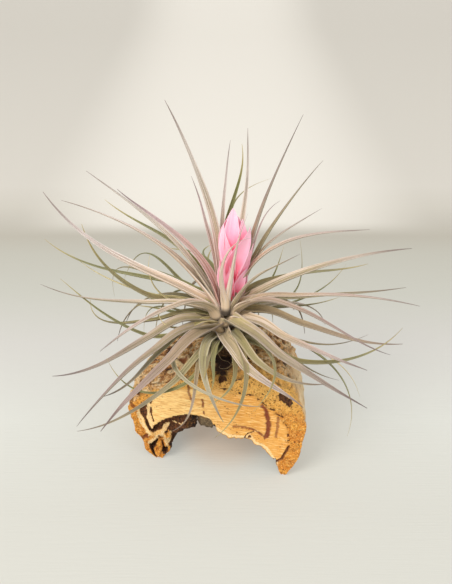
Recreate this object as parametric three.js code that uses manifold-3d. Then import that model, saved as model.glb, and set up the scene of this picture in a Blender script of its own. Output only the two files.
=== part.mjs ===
// Hybrid air plant on a cork bark arch. Millimetres, +Z up, the front of the arch facing -Y.
import * as THREE from 'three';
import { mergeVertices } from 'three/addons/utils/BufferGeometryUtils.js';
import Module from 'manifold-3d';

// Driving dimensions of the whole object
const CORK_BACK = 45; // y of the bark's back end
const CORK_BACK_CENTRE = 2.5; // x of the middle of the back end
const HOLLOW_FLOOR = 56; // height of the small flat floor that the plant stands on
const SEAT_GAP = 0.3; // clearance between pieces that touch
const STEM_BOTTOM = 67;
const STEM_TOP = 94.5;
const STEM_RADIUS = 8.5;
const HEAD_FOOT = new THREE.Vector3(3, 0, 95.5); // lower end of the bract head's axis
const HEAD_TIP = new THREE.Vector3(4.5, 2, 152); // upper end of the bract head's axis
const HEAD_RADIUS = 9;
const HEAD_FOOT_RADIUS = 3.2;
const BRACT_THICK = 1.1;

// The leaves are laid out as they are seen from the front, from 25 degrees above and 600 mm away,
// looking at a point on the stem's axis 100 mm up.
const SIGHT_TILT = THREE.MathUtils.degToRad(25);
const SIGHT_DISTANCE = 600;
const SIGHT_HEIGHT = 100;

// Leaf sizes shared by every leaf
const LEAF_STEPS = 7;
const LEAF_FOLD = 0.42; // rise of a leaf's edges over its middle, per half width
const LEAF_THICK = [1.5, 0.8]; // at the root and near the tip
const LEAF_ARCH = 3; // how far a level leaf rises over its curve near the root
const LEAF_ARCH_END = 0.4; // share of the leaf where that rise ends
const ROOT_RADIUS = 6; // how far from the axis the leaves are rooted in the stem

// Each leaf: [root height, width, three guide points]. A guide point is [right, up, back]: its place
// in the picture plane and its depth behind the stem's axis. They lie at one third, two thirds and
// the tip of the leaf.
const UPRIGHT_LEAVES = [
    [89, 8, [-7, 40, 16], [-20.5, 82, 21], [-38.5, 120, 24]],
    [89, 4.5, [-8, 26, 14], [-14.5, 50.5, 24], [-21.5, 72.5, 34]],
    [90, 5, [-2.5, 32.5, 20], [-1, 65, 26], [3, 95, 30]],
    [90, 6, [-2, 30.5, 23], [6, 62, 32], [10, 92.5, 40]],
    [90, 6.5, [9, 35, 17], [13, 69.5, 26], [14, 102.5, 32]],
    [89, 7.5, [17, 34, 8], [29.5, 70, 12], [48.5, 111, 14]],
    [89, 7.5, [20.5, 25.5, 10], [38, 54.5, 18], [61, 82, 26]],
    [90, 3, [2, 30.5, 22], [5.5, 56, 38], [28, 71, 52]],
    [89, 3.5, [14.5, 19, 16], [21, 41, 26], [34, 57, 34]],
    [88, 5, [18, 19.5, 6], [35.5, 37.5, 12], [60, 52, 18]],
    [88, 7, [23, 22.5, -3], [55, 36, -2], [89.5, 39, 4]],
    [88, 5, [15.5, 6, -12], [30, 16, -20], [46.5, 23.5, -26]],
    [89, 4, [-3.5, 8, -14], [1, 25.5, -20], [19.5, 32.5, -24]],
    [89, 3.4, [4, 12.5, -15], [7.5, 30.5, -20], [12, 42, -22]],
];
const RIGHT_LEAVES = [
    [88, 10, [42, 9, 0], [77.5, 21, 0], [116, 27, 4]],
    [88, 7.5, [30.5, 7.5, 14], [60, 13, 22], [89, 17.5, 30]],
    [88, 8, [40, -3, -12], [79.5, -2.5, -20], [121, -9, -26]],
    [86, 7, [39, -4.5, 8], [74.5, -1, 12], [112.5, 2.5, 16]],
    [88, 7, [36, -8, -30], [69.5, -23, -45], [102.5, -39.5, -52]],
    [86, 9.5, [41, -18.5, -10], [75.5, -28.5, -14], [110.5, -33, -18]],
    [84, 7.5, [28, -10.5, 18], [50, -8, 28], [71, -3.5, 36]],
    [82, 5, [30.5, -10, 30], [56, 0, 44], [75.5, 17.5, 52]],
    [82, 4, [29, -7.5, 36], [44.5, 3, 52], [46.5, 32.5, 58]],
    [84, 3.5, [20.5, -3, 38], [29.5, 10.5, 54], [36.5, 28.5, 60]],
    [80, 5.5, [34, -27, -4], [60, -32.5, -8], [89, -27, -4]],
    [84, 9.5, [33, -27.5, -26], [60, -38, -38], [88, -49.5, -44]],
    [82, 9, [30.5, -38, -42], [59, -55.5, -56], [88, -73, -62]],
    [76, 8, [10.5, -45.5, -46], [28, -58, -60], [48, -72.5, -66]],
    [79, 7, [16, -40.5, -42], [38, -54.5, -56], [62.5, -57.5, -60]],
    [74, 7, [39.5, -42.5, -26], [77.5, -42, -34], [110.5, -22.5, -34]],
    [78, 4.5, [43, -31, -14], [72.5, -54, -30], [75.5, -90, -38]],
    [82, 4, [39, -29.5, 14], [67.5, -42.5, 16], [83.5, -66, 14]],
    [72, 5, [29.5, -34.5, -12], [50, -46.5, -18], [70.5, -55.5, -24]],
];
const FRONT_LEAVES = [
    [72, 4.5, [22.5, -34, -32], [30.5, -50, -58], [17, -75, -66]],
    [71, 6, [10.5, -41, -42], [11, -65, -64], [-7.5, -91, -70]],
    [71, 4.5, [5.5, -44, -38], [3, -59.5, -58], [-11, -70.5, -62]],
    [71, 6, [-17, -44, -42], [-20.5, -69, -68], [-36, -87.5, -80]],
    [72, 8, [-14, -40.5, -40], [-11, -62, -64], [-1.5, -81, -68]],
    [71, 5, [-7.5, -38, -34], [-8, -50, -56], [-9.5, -62.5, -60]],
    [71, 6, [-10, -37, -32], [-12, -45, -50], [-14, -55.5, -58]],
    [73, 6, [-33, -42.5, -38], [-12, -63.5, -70], [23, -71, -80]],
    [71, 4.5, [-22, -55.5, -52], [-52.5, -62, -50], [-75, -41, -44]],
];
const LEFT_LEAVES = [
    [74, 7.5, [-28, -52.5, -50], [-58.5, -74.5, -62], [-93, -87, -60]],
    [80, 10, [-32.5, -40.5, -44], [-57, -63, -66], [-78.5, -87, -80]],
    [78, 7.5, [-34.5, -32, -26], [-54.5, -51, -42], [-78, -66, -50]],
    [83, 10, [-40.5, -34.5, -34], [-69.5, -57, -50], [-93, -84.5, -56]],
    [84, 10.5, [-42, -26, -22], [-74, -43, -32], [-108.5, -53, -36]],
    [88, 9, [-30.5, -9, -34], [-56, -20.5, -56], [-78.5, -37, -66]],
    [86, 9, [-45, -7.5, -8], [-80.5, -4.5, -8], [-116, 4.5, -2]],
    [82, 7.5, [-38, -17, -2], [-70.5, -19, 0], [-85, -4.5, 2]],
    [76, 5.5, [-43, -29, -8], [-75, -14, -8], [-104, 8, 0]],
    [84, 4, [-25.5, -13, 0], [-44, -9, 2], [-51, -26, -4]],
    [80, 3.5, [-19.5, -21, -14], [-34.5, -22, -18], [-42.5, -10, -16]],
    [84, 7.5, [-19, -15, 6], [-35, -12, 12], [-56, -8.5, 18]],
    [86, 7.5, [-42.5, -5, 14], [-72, 13, 24], [-90.5, 42.5, 30]],
    [88, 7, [-43, 7, 20], [-80.5, 16, 32], [-113.5, 33, 40]],
    [86, 4, [-39.5, -3.5, 18], [-70, 7, 30], [-97.5, 24, 40]],
    [88, 10.5, [-47.5, 11, 2], [-84.5, 32.5, 4], [-114.5, 62.5, 8]],
    [88, 10, [-34, 23, 10], [-67, 44.5, 16], [-103, 57, 24]],
    [88, 7.5, [-24.5, 23, 18], [-49.5, 41, 30], [-76, 57.5, 40]],
    [89, 8, [-29, 27, 6], [-56.5, 53, 10], [-87.5, 75.5, 16]],
    [89, 8.5, [-19.5, 24, 10], [-43, 45, 20], [-68, 64.5, 28]],
    [86, 5, [-28, 6, 34], [-47.5, 24, 54], [-64, 7, 60]],
    [86, 5, [-10, 17.5, 38], [-22.5, 25.5, 58], [-39.5, 28, 68]],
    [88, 3.5, [-10, 15, 40], [-14, 25, 60], [-8, 30.5, 70]],
    [86, 5.5, [-7.5, 10, 34], [-11, 19, 56], [-8, 29, 66]],
    [86, 3.5, [-30, -7.5, 10], [-45.5, 5, 16], [-47, 26, 20]],
    [86, 3.5, [-34, 4, 26], [-62.5, 16, 38], [-69.5, -3, 40]],
    [88, 7, [-18, 1, 22], [-34, 10, 34], [-49.5, 14.5, 44]],
];

// Leaves on the far side, spread by the golden ratio: [first heading, last heading], and the
// lowest and highest root, reach, tip height and width.
const FAR_LEAVES = {
    count: 12,
    heading: [22, 158],
    root: [73, 88],
    reach: [70, 86],
    tip: [40, 62],
    width: [6.5, 9.5],
};

// Bracts of the head: [heading at the foot and at the tip in degrees, start and end along the head's
// axis, width, how far the tip stands out]. The later ones are the lower and outer ones.
const BRACTS = [
    [60, 75, 0.5, 0.98, 10, 0],
    [160, 165, 0.5, 0.96, 10, 0],
    [-50, -30, 0.5, 0.97, 9, 0],
    [20, 25, 0.45, 0.89, 10, 1],
    [-110, -100, 0.48, 1.05, 11, 0.4],
    [-155, -156, 0.3, 0.89, 11, 0.6],
    [120, 128, 0.3, 0.85, 11, 1],
    [75, 80, 0.28, 0.8, 11, 1.4],
    [-15, 5, 0.3, 0.81, 11, 3],
    [-85, -33, 0.15, 0.71, 12, 2.4],
    [160, 176, 0.1, 0.68, 11, 0.8],
    [30, 48, 0.1, 0.66, 11, 2.4],
    [100, 112, 0.05, 0.6, 11, 1.6],
    [-40, -12, 0.05, 0.69, 8, 3.8],
    [-128, -132, 0.02, 0.55, 11, 0.8],
    [-60, -34, 0, 0.37, 9, 1.2],
    [-170, -164, 0, 0.42, 9, 0.8],
    [60, 76, 0, 0.4, 10, 1.2],
    [140, 148, 0, 0.4, 10, 1.2],
];

// Roots and old sheaths of the dry base: heading in degrees.
const SHEATH_COUNT = 9;
const SHEATH_TURN = 137.5;

// The sawn front of the bark: [x, z] pairs of its outer and inner edge, from the left foot to the right
const FRONT_EDGES = [
    [[-46, 0], [-40, 0]],
    [[-52.5, 4.5], [-36.5, 5]],
    [[-55.5, 12], [-34, 11]],
    [[-58.5, 20], [-31, 16]],
    [[-60.3, 27], [-26.5, 19.5]],
    [[-61.3, 34.5], [-23.3, 25]],
    [[-59, 42], [-20, 30]],
    [[-53, 47], [-16.5, 31.5]],
    [[-43, 50], [-13, 31]],
    [[-25, 54], [-9, 29.5]],
    [[-7, 57.5], [-7.3, 24.5]],
    [[6, 60.5], [0, 20.5]],
    [[16, 62], [7, 19.5]],
    [[25, 60.5], [13.5, 20.5]],
    [[33, 57.5], [18, 17.5]],
    [[41, 52], [23, 15.5]],
    [[46, 44], [26, 13]],
    [[48.2, 35.5], [28, 10]],
    [[47.2, 25], [30, 7]],
    [[45.3, 16.5], [31.5, 4.5]],
    [[43, 9.5], [32.5, 2.5]],
    [[39.5, 3.5], [33.5, 0.8]],
    [[36.5, 0], [34, 0]],
];
// The front is cut askew: y = level + slant * x + lean * z
const FRONT_CUT = { level: -44.25, slant: -0.25, lean: 0.15 };
// The back end is an even arch: half width, half height and height of the centre of each edge
const BACK_OUTER = { wide: 46.5, tall: 36, centre: 24 };
const BACK_INNER = { wide: 27, tall: 24, centre: 16 };
const FOOT_SHARE = 0.06; // share of the arch at each foot that stays smooth
const BARK_BULGE = 4.5; // how far the flanks swell between the front and the back
const SWELL = { broad: 0.9, fine: 0.6 };
const HOLLOW = { halfWide: 9.5, halfLong: 27, centre: -10, steep: 2.2, from: 0.2, to: 0.8 };
const CRUMBLED = { from: 0.135, to: 0.285, firstWall: 0.36, slope: 0.18, depth: 7 };
const CORK_STEPS = { across: 44, deep: 12, wall: 5 };

const wasm = await Module();
wasm.setup();

const up = new THREE.Vector3(0, 0, 1);

function polar(radius, degrees, height) {
    const turn = THREE.MathUtils.degToRad(degrees);
    return new THREE.Vector3(radius * Math.cos(turn), radius * Math.sin(turn), height);
}

function closedGeometry(points, triangles) {
    const geometry = new THREE.BufferGeometry();
    geometry.setAttribute('position', new THREE.Float32BufferAttribute(points.flatMap((p) => p.toArray()), 3));
    geometry.setIndex(triangles);
    return geometry;
}

function toSolid(geometry) {
    const bare = geometry.clone();
    bare.deleteAttribute('normal');
    bare.deleteAttribute('uv');
    const merged = mergeVertices(bare, 1e-4);
    const vertProperties = new Float32Array(merged.attributes.position.array);
    const triVerts = new Uint32Array(merged.index.array);
    return new wasm.Manifold(new wasm.Mesh({ numProp: 3, vertProperties, triVerts }));
}

function toGeometry(solid) {
    const mesh = solid.getMesh();
    const geometry = new THREE.BufferGeometry();
    geometry.setAttribute('position', new THREE.BufferAttribute(new Float32Array(mesh.vertProperties), 3));
    geometry.setIndex(new THREE.BufferAttribute(new Uint32Array(mesh.triVerts), 1));
    geometry.computeVertexNormals();
    return geometry;
}

// The largest body of a fused solid, with the loose scraps dropped
function largestBody(solid) {
    const bodies = solid.decompose();
    return bodies.reduce((best, body) => (body.volume() > best.volume() ? body : best));
}

function fused(solids) {
    let joined = solids.slice();
    while (joined.length > 1) {
        const next = [];
        for (let i = 0; i < joined.length; i += 2) {
            next.push(i + 1 < joined.length ? joined[i].add(joined[i + 1]) : joined[i]);
        }
        joined = next;
    }
    return joined[0];
}

// A thin closed blade along a path: `frame(t)` gives its place, side and face directions, its half
// width and thickness, and how far its edges are lifted. Both faces are split into triangles alike.
function bladeSolid(frame, steps) {
    const points = [];
    const triangles = [];
    for (let i = 0; i < steps; i++) {
        const { place, side, face, half, thick, lift } = frame(i / steps);
        points.push(place.clone().addScaledVector(side, half).addScaledVector(face, lift));
        points.push(place.clone().addScaledVector(face, thick / 2));
        points.push(place.clone().addScaledVector(side, -half).addScaledVector(face, lift));
        points.push(place.clone().addScaledVector(face, -thick / 2));
    }
    points.push(frame(1).place);
    const tip = points.length - 1;
    for (let i = 0; i < steps - 1; i++) {
        const [left, top, right, bottom] = [4 * i, 4 * i + 1, 4 * i + 2, 4 * i + 3];
        triangles.push(left, left + 4, top + 4, left, top + 4, top);
        triangles.push(right, top, top + 4, right, top + 4, right + 4);
        triangles.push(left, bottom + 4, left + 4, left, bottom, bottom + 4);
        triangles.push(right, bottom + 4, bottom, right, right + 4, bottom + 4);
    }
    triangles.push(0, 1, 3, 1, 2, 3);
    const last = 4 * (steps - 1);
    triangles.push(last, tip, last + 1, last + 1, tip, last + 2);
    triangles.push(last + 2, tip, last + 3, last + 3, tip, last);
    const solid = toSolid(closedGeometry(points, triangles));
    if (solid.volume() > 0) return solid;
    const turned = [];
    for (let i = 0; i < triangles.length; i += 3) turned.push(triangles[i], triangles[i + 2], triangles[i + 1]);
    return toSolid(closedGeometry(points, turned));
}

// The place of a point seen [right, up] of the sight's centre and `back` behind the axis
function seen([right, above, back]) {
    const spread = 1 + back / (SIGHT_DISTANCE * Math.cos(SIGHT_TILT));
    const shrink = 1 + (above * Math.tan(SIGHT_TILT)) / SIGHT_DISTANCE;
    const scale = spread / shrink;
    const height = (above * scale - back * Math.sin(SIGHT_TILT)) / Math.cos(SIGHT_TILT);
    return new THREE.Vector3(right * scale, back, SIGHT_HEIGHT + height);
}

// A smooth curve that starts at `root` and passes the guides at one third, two thirds and the end
function curveThrough(root, [a, b, c]) {
    const blend = (p, q, r, s) => root.clone().multiplyScalar(p).addScaledVector(a, q)
        .addScaledVector(b, r).addScaledVector(c, s).divideScalar(6);
    return new THREE.CubicBezierCurve3(root, blend(-5, 18, -9, 2), blend(2, -9, 18, -5), c);
}

function leafSolid(root, guides, width, steps = LEAF_STEPS) {
    const curve = curveThrough(root, guides);
    const heading = guides[0].clone().sub(root).setZ(0).normalize();
    const side = new THREE.Vector3().crossVectors(up, heading);
    const climb = guides[0].clone().sub(root).normalize().z;
    const arch = LEAF_ARCH * THREE.MathUtils.clamp(1 - 1.5 * climb, 0, 1);
    return bladeSolid((t) => {
        const along = curve.getTangent(t);
        side.addScaledVector(along, -side.dot(along)).normalize();
        const face = new THREE.Vector3().crossVectors(along, side);
        const half = (width / 2) * (1 - t) ** 0.8;
        const thick = THREE.MathUtils.lerp(...LEAF_THICK, t);
        const place = curve.getPoint(t);
        if (t < LEAF_ARCH_END) place.z += arch * Math.sin((Math.PI * t) / LEAF_ARCH_END) ** 2;
        return { place, side: side.clone(), face, half, thick, lift: half * LEAF_FOLD };
    }, steps);
}

function tracedLeaf([rootHeight, width, ...guidePoints]) {
    const guides = guidePoints.map(seen);
    const heading = THREE.MathUtils.radToDeg(Math.atan2(guides[0].y, guides[0].x));
    return leafSolid(polar(ROOT_RADIUS, heading, rootHeight), guides, width);
}

const fraction = (value) => value - Math.floor(value);
const between = ([low, high], share) => low + (high - low) * share;

function farLeaf(index) {
    const heading = between(FAR_LEAVES.heading, fraction(0.31 + index * 0.618));
    const rootHeight = between(FAR_LEAVES.root, fraction(index * 0.377));
    const reach = between(FAR_LEAVES.reach, fraction(index * 0.755));
    const tipHeight = between(FAR_LEAVES.tip, fraction(index * 0.29));
    const width = between(FAR_LEAVES.width, fraction(index * 0.532));
    const guides = [
        polar(reach * 0.36, heading, rootHeight + 7),
        polar(reach * 0.74, heading + 4, rootHeight + 1),
        polar(reach, heading + 6, tipHeight),
    ];
    return leafSolid(polar(ROOT_RADIUS, heading, rootHeight), guides, width);
}

function lathe(profile) {
    const points = profile.map(([radius, height]) => new THREE.Vector2(radius, height));
    const geometry = new THREE.LatheGeometry(points, 12);
    geometry.rotateX(Math.PI / 2);
    return geometry;
}

const rise = (from, to, value) => THREE.MathUtils.smoothstep(value, from, to);

// Half width of the bract head at a share of its length: slim at the foot, full above the middle
function headRadius(share) {
    const swell = THREE.MathUtils.lerp(HEAD_FOOT_RADIUS, HEAD_RADIUS, rise(0, 0.66, share));
    return swell * (1 - 0.7 * rise(0.7, 1.06, share));
}

const headAxis = HEAD_TIP.clone().sub(HEAD_FOOT);
const headTurn = new THREE.Quaternion().setFromUnitVectors(up, headAxis.clone().normalize());

function onHead(radius, degrees, share) {
    return polar(radius, degrees, share * headAxis.length()).applyQuaternion(headTurn).add(HEAD_FOOT);
}

function bractSolid([footHeading, tipHeading, start, end, width, flare], layer) {
    const heading = (t) => THREE.MathUtils.lerp(footHeading, tipHeading, t);
    const point = (t) => {
        const share = THREE.MathUtils.lerp(start, end, t);
        const hug = headRadius(share) * 0.86 + layer * 0.1 + flare * t * t;
        return onHead(hug * Math.min(1, 0.6 + 1.4 * t), heading(t), share);
    };
    return bladeSolid((t) => {
        const place = point(t);
        const along = point(t + 0.02).sub(point(t - 0.02)).normalize();
        const outward = polar(1, heading(t), 0).applyQuaternion(headTurn);
        const side = new THREE.Vector3().crossVectors(along, outward).normalize();
        const face = new THREE.Vector3().crossVectors(side, along);
        const half = (width / 2) * Math.sin(Math.PI * (0.16 + 0.84 * t) ** 0.9) ** 0.6;
        return { place, side, face, half, thick: BRACT_THICK, lift: -0.5 * half };
    }, 5);
}

function bractHead() {
    const profile = [[0, 0]];
    for (let i = 0; i <= 6; i++) profile.push([0.9 * headRadius(i / 6), (i / 6) * 0.98 * headAxis.length()]);
    profile[profile.length - 1][0] = 0;
    const core = lathe(profile);
    core.applyQuaternion(headTurn);
    core.translate(...HEAD_FOOT.toArray());
    return largestBody(fused([toSolid(core), ...BRACTS.map(bractSolid)]));
}

function leafRosette() {
    const stem = lathe([
        [0, STEM_BOTTOM],
        [STEM_RADIUS - 3, STEM_BOTTOM],
        [STEM_RADIUS, STEM_BOTTOM + 6],
        [STEM_RADIUS, STEM_TOP - 4],
        [STEM_RADIUS - 2, STEM_TOP],
        [0, STEM_TOP],
    ]);
    const traced = [...UPRIGHT_LEAVES, ...RIGHT_LEAVES, ...FRONT_LEAVES, ...LEFT_LEAVES].map(tracedLeaf);
    const far = Array.from({ length: FAR_LEAVES.count }, (_, index) => farLeaf(index));
    return largestBody(fused([toSolid(stem), ...traced, ...far]));
}

// Stump of old sheaths with wiry roots, standing in the hollow of the bark
function dryBase() {
    const foot = HOLLOW_FLOOR + SEAT_GAP;
    const head = STEM_BOTTOM - SEAT_GAP;
    const stump = lathe([[0, foot], [5.5, foot], [6.5, foot + 4], [5.5, head], [0, head]]);
    const sheaths = [];
    for (let i = 0; i < SHEATH_COUNT; i++) {
        const heading = i * SHEATH_TURN;
        const reach = 11 + 4 * fraction(i * 0.43);
        const root = polar(3, heading, foot + 5 + 2.5 * fraction(i * 0.31));
        const guides = [
            polar(reach * 0.5, heading + 6, root.z + 1.2),
            polar(reach * 0.8, heading + 14, root.z + 1),
            polar(reach, heading + 28, root.z - 0.5),
        ];
        sheaths.push(leafSolid(root, guides, 3.2, 5));
    }
    return largestBody(fused([toSolid(stump), ...sheaths]));
}

// Uneven surface of the bark, as a formula of the place
function relief(x, y, z) {
    const broad = Math.sin(0.19 * x + 0.11 * y) * Math.sin(0.16 * y - 0.2 * z + 1.3);
    const fine = Math.sin(0.47 * x - 0.33 * z + 2) * Math.sin(0.42 * y + 0.21 * x + 0.5);
    return SWELL.broad * broad + SWELL.fine * fine;
}

const frontPoints = (side) => FRONT_EDGES.map((pair) => new THREE.Vector3(pair[side][0], 0, pair[side][1]));
const frontOuter = new THREE.CatmullRomCurve3(frontPoints(0), false, 'centripetal');
const frontInner = new THREE.CatmullRomCurve3(frontPoints(1), false, 'centripetal');

function backEdge({ wide, tall, centre }, share) {
    const dip = Math.asin(centre / tall);
    const turn = THREE.MathUtils.lerp(Math.PI + dip, -dip, share);
    return new THREE.Vector3(CORK_BACK_CENTRE + wide * Math.cos(turn), 0, centre + tall * Math.sin(turn));
}

// The dark inner bark of the left leg has broken away below the sawn face: how far back it lies
function crumbledDepth(share, wall) {
    const edge = THREE.MathUtils.mapLinear(share, CRUMBLED.from, CRUMBLED.to, CRUMBLED.firstWall, 1);
    const inside = rise(edge, edge + CRUMBLED.slope, wall);
    return CRUMBLED.depth * inside * rise(CRUMBLED.from - 0.02, CRUMBLED.from + 0.01, share);
}

// A place in the bark: `share` from the left foot to the right, `wall` from outside to inside,
// `deep` from front to back, each from 0 to 1
function inCork(share, wall, deep) {
    const front = frontOuter.getPoint(share).lerp(frontInner.getPoint(share), wall);
    const back = backEdge(BACK_OUTER, share).lerp(backEdge(BACK_INNER, share), wall);
    const outward = frontOuter.getPoint(share).sub(frontInner.getPoint(share)).normalize();
    const cut = FRONT_CUT.level + FRONT_CUT.slant * front.x + FRONT_CUT.lean * front.z;
    const crumbled = crumbledDepth(share, wall);
    const y = THREE.MathUtils.lerp(cut + crumbled * (1 - deep), CORK_BACK, deep);
    const place = front.lerp(back, deep);
    const awayFromFoot = rise(0, FOOT_SHARE, share) * rise(0, FOOT_SHARE, 1 - share);
    const bulge = BARK_BULGE * Math.sin(Math.PI * deep) * Math.abs(outward.x) * (1 - wall);
    const swell = relief(place.x, y, place.z) * (1 - 1.6 * wall);
    place.addScaledVector(outward, (swell + bulge) * awayFromFoot);
    place.y = y;
    if (share > HOLLOW.from && share < HOLLOW.to) {
        const off = ((place.y - HOLLOW.centre) / HOLLOW.halfLong) ** 4;
        const hollow = HOLLOW.steep * Math.exp(-((place.x / HOLLOW.halfWide) ** 4) - off);
        place.z = THREE.MathUtils.lerp(place.z, HOLLOW_FLOOR, Math.min(1, hollow) * (1 - wall) ** 2);
    }
    if (share === 0 || share === 1) place.z = 0;
    return place;
}

function corkGeometry() {
    const { across, deep, wall } = CORK_STEPS;
    const points = [];
    const triangles = [];
    const known = new Map();
    const vertex = (i, j, k) => {
        const key = `${i} ${j} ${k}`;
        if (!known.has(key)) {
            known.set(key, points.length);
            points.push(inCork(i / across, j / wall, k / deep));
        }
        return known.get(key);
    };
    const patch = (rows, columns, corner) => {
        for (let row = 0; row < rows; row++) {
            for (let column = 0; column < columns; column++) {
                const [a, b] = [corner(row, column), corner(row + 1, column)];
                const [c, d] = [corner(row + 1, column + 1), corner(row, column + 1)];
                triangles.push(a, b, c, a, c, d);
            }
        }
    };
    patch(across, deep, (i, k) => vertex(i, 0, k));
    patch(deep, across, (k, i) => vertex(i, wall, k));
    patch(wall, across, (j, i) => vertex(i, j, 0));
    patch(across, wall, (i, j) => vertex(i, j, deep));
    patch(deep, wall, (k, j) => vertex(0, j, k));
    patch(wall, deep, (j, k) => vertex(across, j, k));
    return closedGeometry(points, triangles);
}

function finish(colour, roughness) {
    return new THREE.MeshStandardMaterial({ color: colour, roughness, metalness: 0, flatShading: true });
}

function piece(name, geometry, material) {
    const mesh = new THREE.Mesh(geometry, material);
    mesh.name = name;
    return mesh;
}

const plant = new THREE.Group();
plant.add(
    piece('cork_bark', corkGeometry(), finish(0xc98f4f, 0.9)),
    piece('leaf_rosette', toGeometry(leafRosette()), finish(0xa9a084, 0.75)),
    piece('bract_head', toGeometry(bractHead()), finish(0xf49cbc, 0.6)),
    piece('dry_base', toGeometry(dryBase()), finish(0x6b4a2c, 0.9)),
);

export default plant;
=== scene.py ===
"""Hybrid air plant on a cork bark arch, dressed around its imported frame. Metres, +Z up, front at -Y."""
import math
import random

import bpy
import numpy as np
from mathutils import Matrix, Vector, noise


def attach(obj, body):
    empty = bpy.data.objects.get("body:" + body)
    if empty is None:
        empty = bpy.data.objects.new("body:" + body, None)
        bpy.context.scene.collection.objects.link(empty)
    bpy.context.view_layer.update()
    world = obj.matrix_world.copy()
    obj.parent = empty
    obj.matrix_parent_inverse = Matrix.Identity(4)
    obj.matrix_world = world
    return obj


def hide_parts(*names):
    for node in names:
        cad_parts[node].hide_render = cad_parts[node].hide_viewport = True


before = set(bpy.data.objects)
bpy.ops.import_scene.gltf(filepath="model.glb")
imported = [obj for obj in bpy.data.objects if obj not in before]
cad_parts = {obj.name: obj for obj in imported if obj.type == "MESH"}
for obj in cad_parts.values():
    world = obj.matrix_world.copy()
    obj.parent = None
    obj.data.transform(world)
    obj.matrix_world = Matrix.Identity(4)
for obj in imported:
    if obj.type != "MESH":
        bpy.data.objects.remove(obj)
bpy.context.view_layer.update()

# Cork bark arch: half a round of virgin cork, broken along its two lower edges and sawn askew at the
# front. The sawn face is orange and granular with a smooth creamy band, the outside is craggy bark,
# the inside is dark. It stands on its two lower edges and carries the plant in a hollow on top.
MM = 0.001
noise.seed_set(20)  # noise_vector, which warps the bark, starts from the clock otherwise
FRONT_EDGES = [
    # (x, z) of the outer and of the inner edge of the sawn face, from the left foot to the right, mm
    ((-46, 0), (-40, 0)), ((-52.5, 4.5), (-36.5, 5)), ((-55.5, 12), (-34, 11)), ((-58.5, 20), (-31, 16)),
    ((-60.3, 27), (-26.5, 19.5)), ((-61.3, 34.5), (-23.3, 25)), ((-59, 42), (-20, 30)),
    ((-53, 47), (-16.5, 31.5)), ((-43, 50), (-13, 31)), ((-25, 54), (-9, 29.5)),
    ((-7, 57.5), (-7.3, 24.5)), ((6, 60.5), (0, 20.5)), ((16, 62), (7, 19.5)), ((25, 60.5), (13.5, 20.5)),
    ((33, 57.5), (18, 17.5)), ((41, 52), (23, 15.5)), ((46, 44), (26, 13)), ((48.2, 35.5), (28, 10)),
    ((47.2, 25), (30, 7)), ((45.3, 16.5), (31.5, 4.5)), ((43, 9.5), (32.5, 2.5)),
    ((39.5, 3.5), (33.5, 0.8)), ((36.5, 0), (34, 0)),
]
CUT_LEVEL, CUT_SLANT, CUT_LEAN = -44.25, -0.25, 0.15  # y of the sawn face, mm, and its change with x and z
BARK_BACK = 45
BACK_CENTRE = 2.5
BACK_OUTER = (46.5, 36, 24)  # half width, half height, height of the centre, mm
BACK_INNER = (27, 24, 16)
FOOT_SHARE = 0.06  # share of the arch at each foot that stays smooth
BARK_BULGE = 4.5  # how far the flanks swell between the front and the back, mm
HOLLOW_FLOOR, HOLLOW_CENTRE = 56, -10  # height of its floor and y of its middle, mm
HOLLOW_HALF_WIDE, HOLLOW_HALF_LONG = 9.5, 27
BARK_ACROSS, BARK_WALL, BARK_DEEP = 380, 50, 70  # steps of the mesh from foot to foot, inwards and back

# Stretches of the arch, from 0 at the left foot to 1 at the right: where a thing starts, is full, fades, ends
LEFT_KNOBS = (0.08, 0.14, 0.2, 0.3)
CRUMBLED_CEILING = (0.27, 0.33, 0.37, 0.47)
HOLLOW_SPAN = (0.2, 0.24, 0.76, 0.8)
GOLDEN_TOP = (0.33, 0.4, 0.65, 0.75)
PALE_EDGE = (0.3, 0.36, 0.8, 0.95)

# Relief, mm
KNOBS_HANG, CEILING_HANG = 5, 9
BARK_RELIEF, CALM_RELIEF = 3, 0.9
LIP_RELIEF, KNOT_RELIEF, BACK_RELIEF = 1.6, 1.8, 1.6

# Outlines on the sawn face, (x, z) in mm
SMOOTH_BAND = (
    (-54.9, 32), (-47.6, 39), (-41.2, 44.3), (-28.5, 47), (-16, 48.4), (-0.6, 46.2), (17.6, 48.8),
    (22.5, 44.3), (28, 40.5), (33.5, 36.1), (37.2, 30.1), (38, 19), (35.1, 11.2), (30.3, 7.1),
    (22.4, -2.3), (-16.4, -5.2), (-34.2, 5.8), (-35.2, 20.6), (-46.9, 13.4), (-50.7, 17),
    (-54.4, 24.6),
)
DOTTED_RING = (
    (-3, 47.5), (1.8, 48.7), (7.3, 48.5), (12.2, 48.7), (18, 49.2), (19.4, 47.2), (22.5, 44.9),
    (25, 42.5), (29.6, 41.2), (30.6, 39.8), (34.3, 38.3), (36.6, 34.2), (38.1, 28.9), (38.2, 23.9),
    (38.3, 19),
)
# the broken wall below the face's edge at the left foot, recessed and painted dark as shade
BROKEN_WALL = (
    (-48.2, 16.3), (-45.5, 19.8), (-42.9, 22.2), (-39.6, 25.1), (-35.1, 27.4), (-30, 29.5),
    (-22.4, 31.3), (-17.5, 31.2), (-16.3, 15.4), (-32.9, 6), (-34.4, 12.6), (-34.7, 17.3),
    (-37.8, 19.2), (-41.7, 17.6), (-46.3, 14.2),
)
BARK_LIP = (
    (-60.5, 33), (-57, 37.5), (-51, 40.6), (-45, 43.5), (-40, 46.6), (-35, 48.8), (-29, 51.5),
    (-25, 56), (-45, 58), (-66, 46),
)
KNOT = (-27.5, -10, 3.6)  # x and y of a knot on the bark, and its radius, mm
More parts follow.
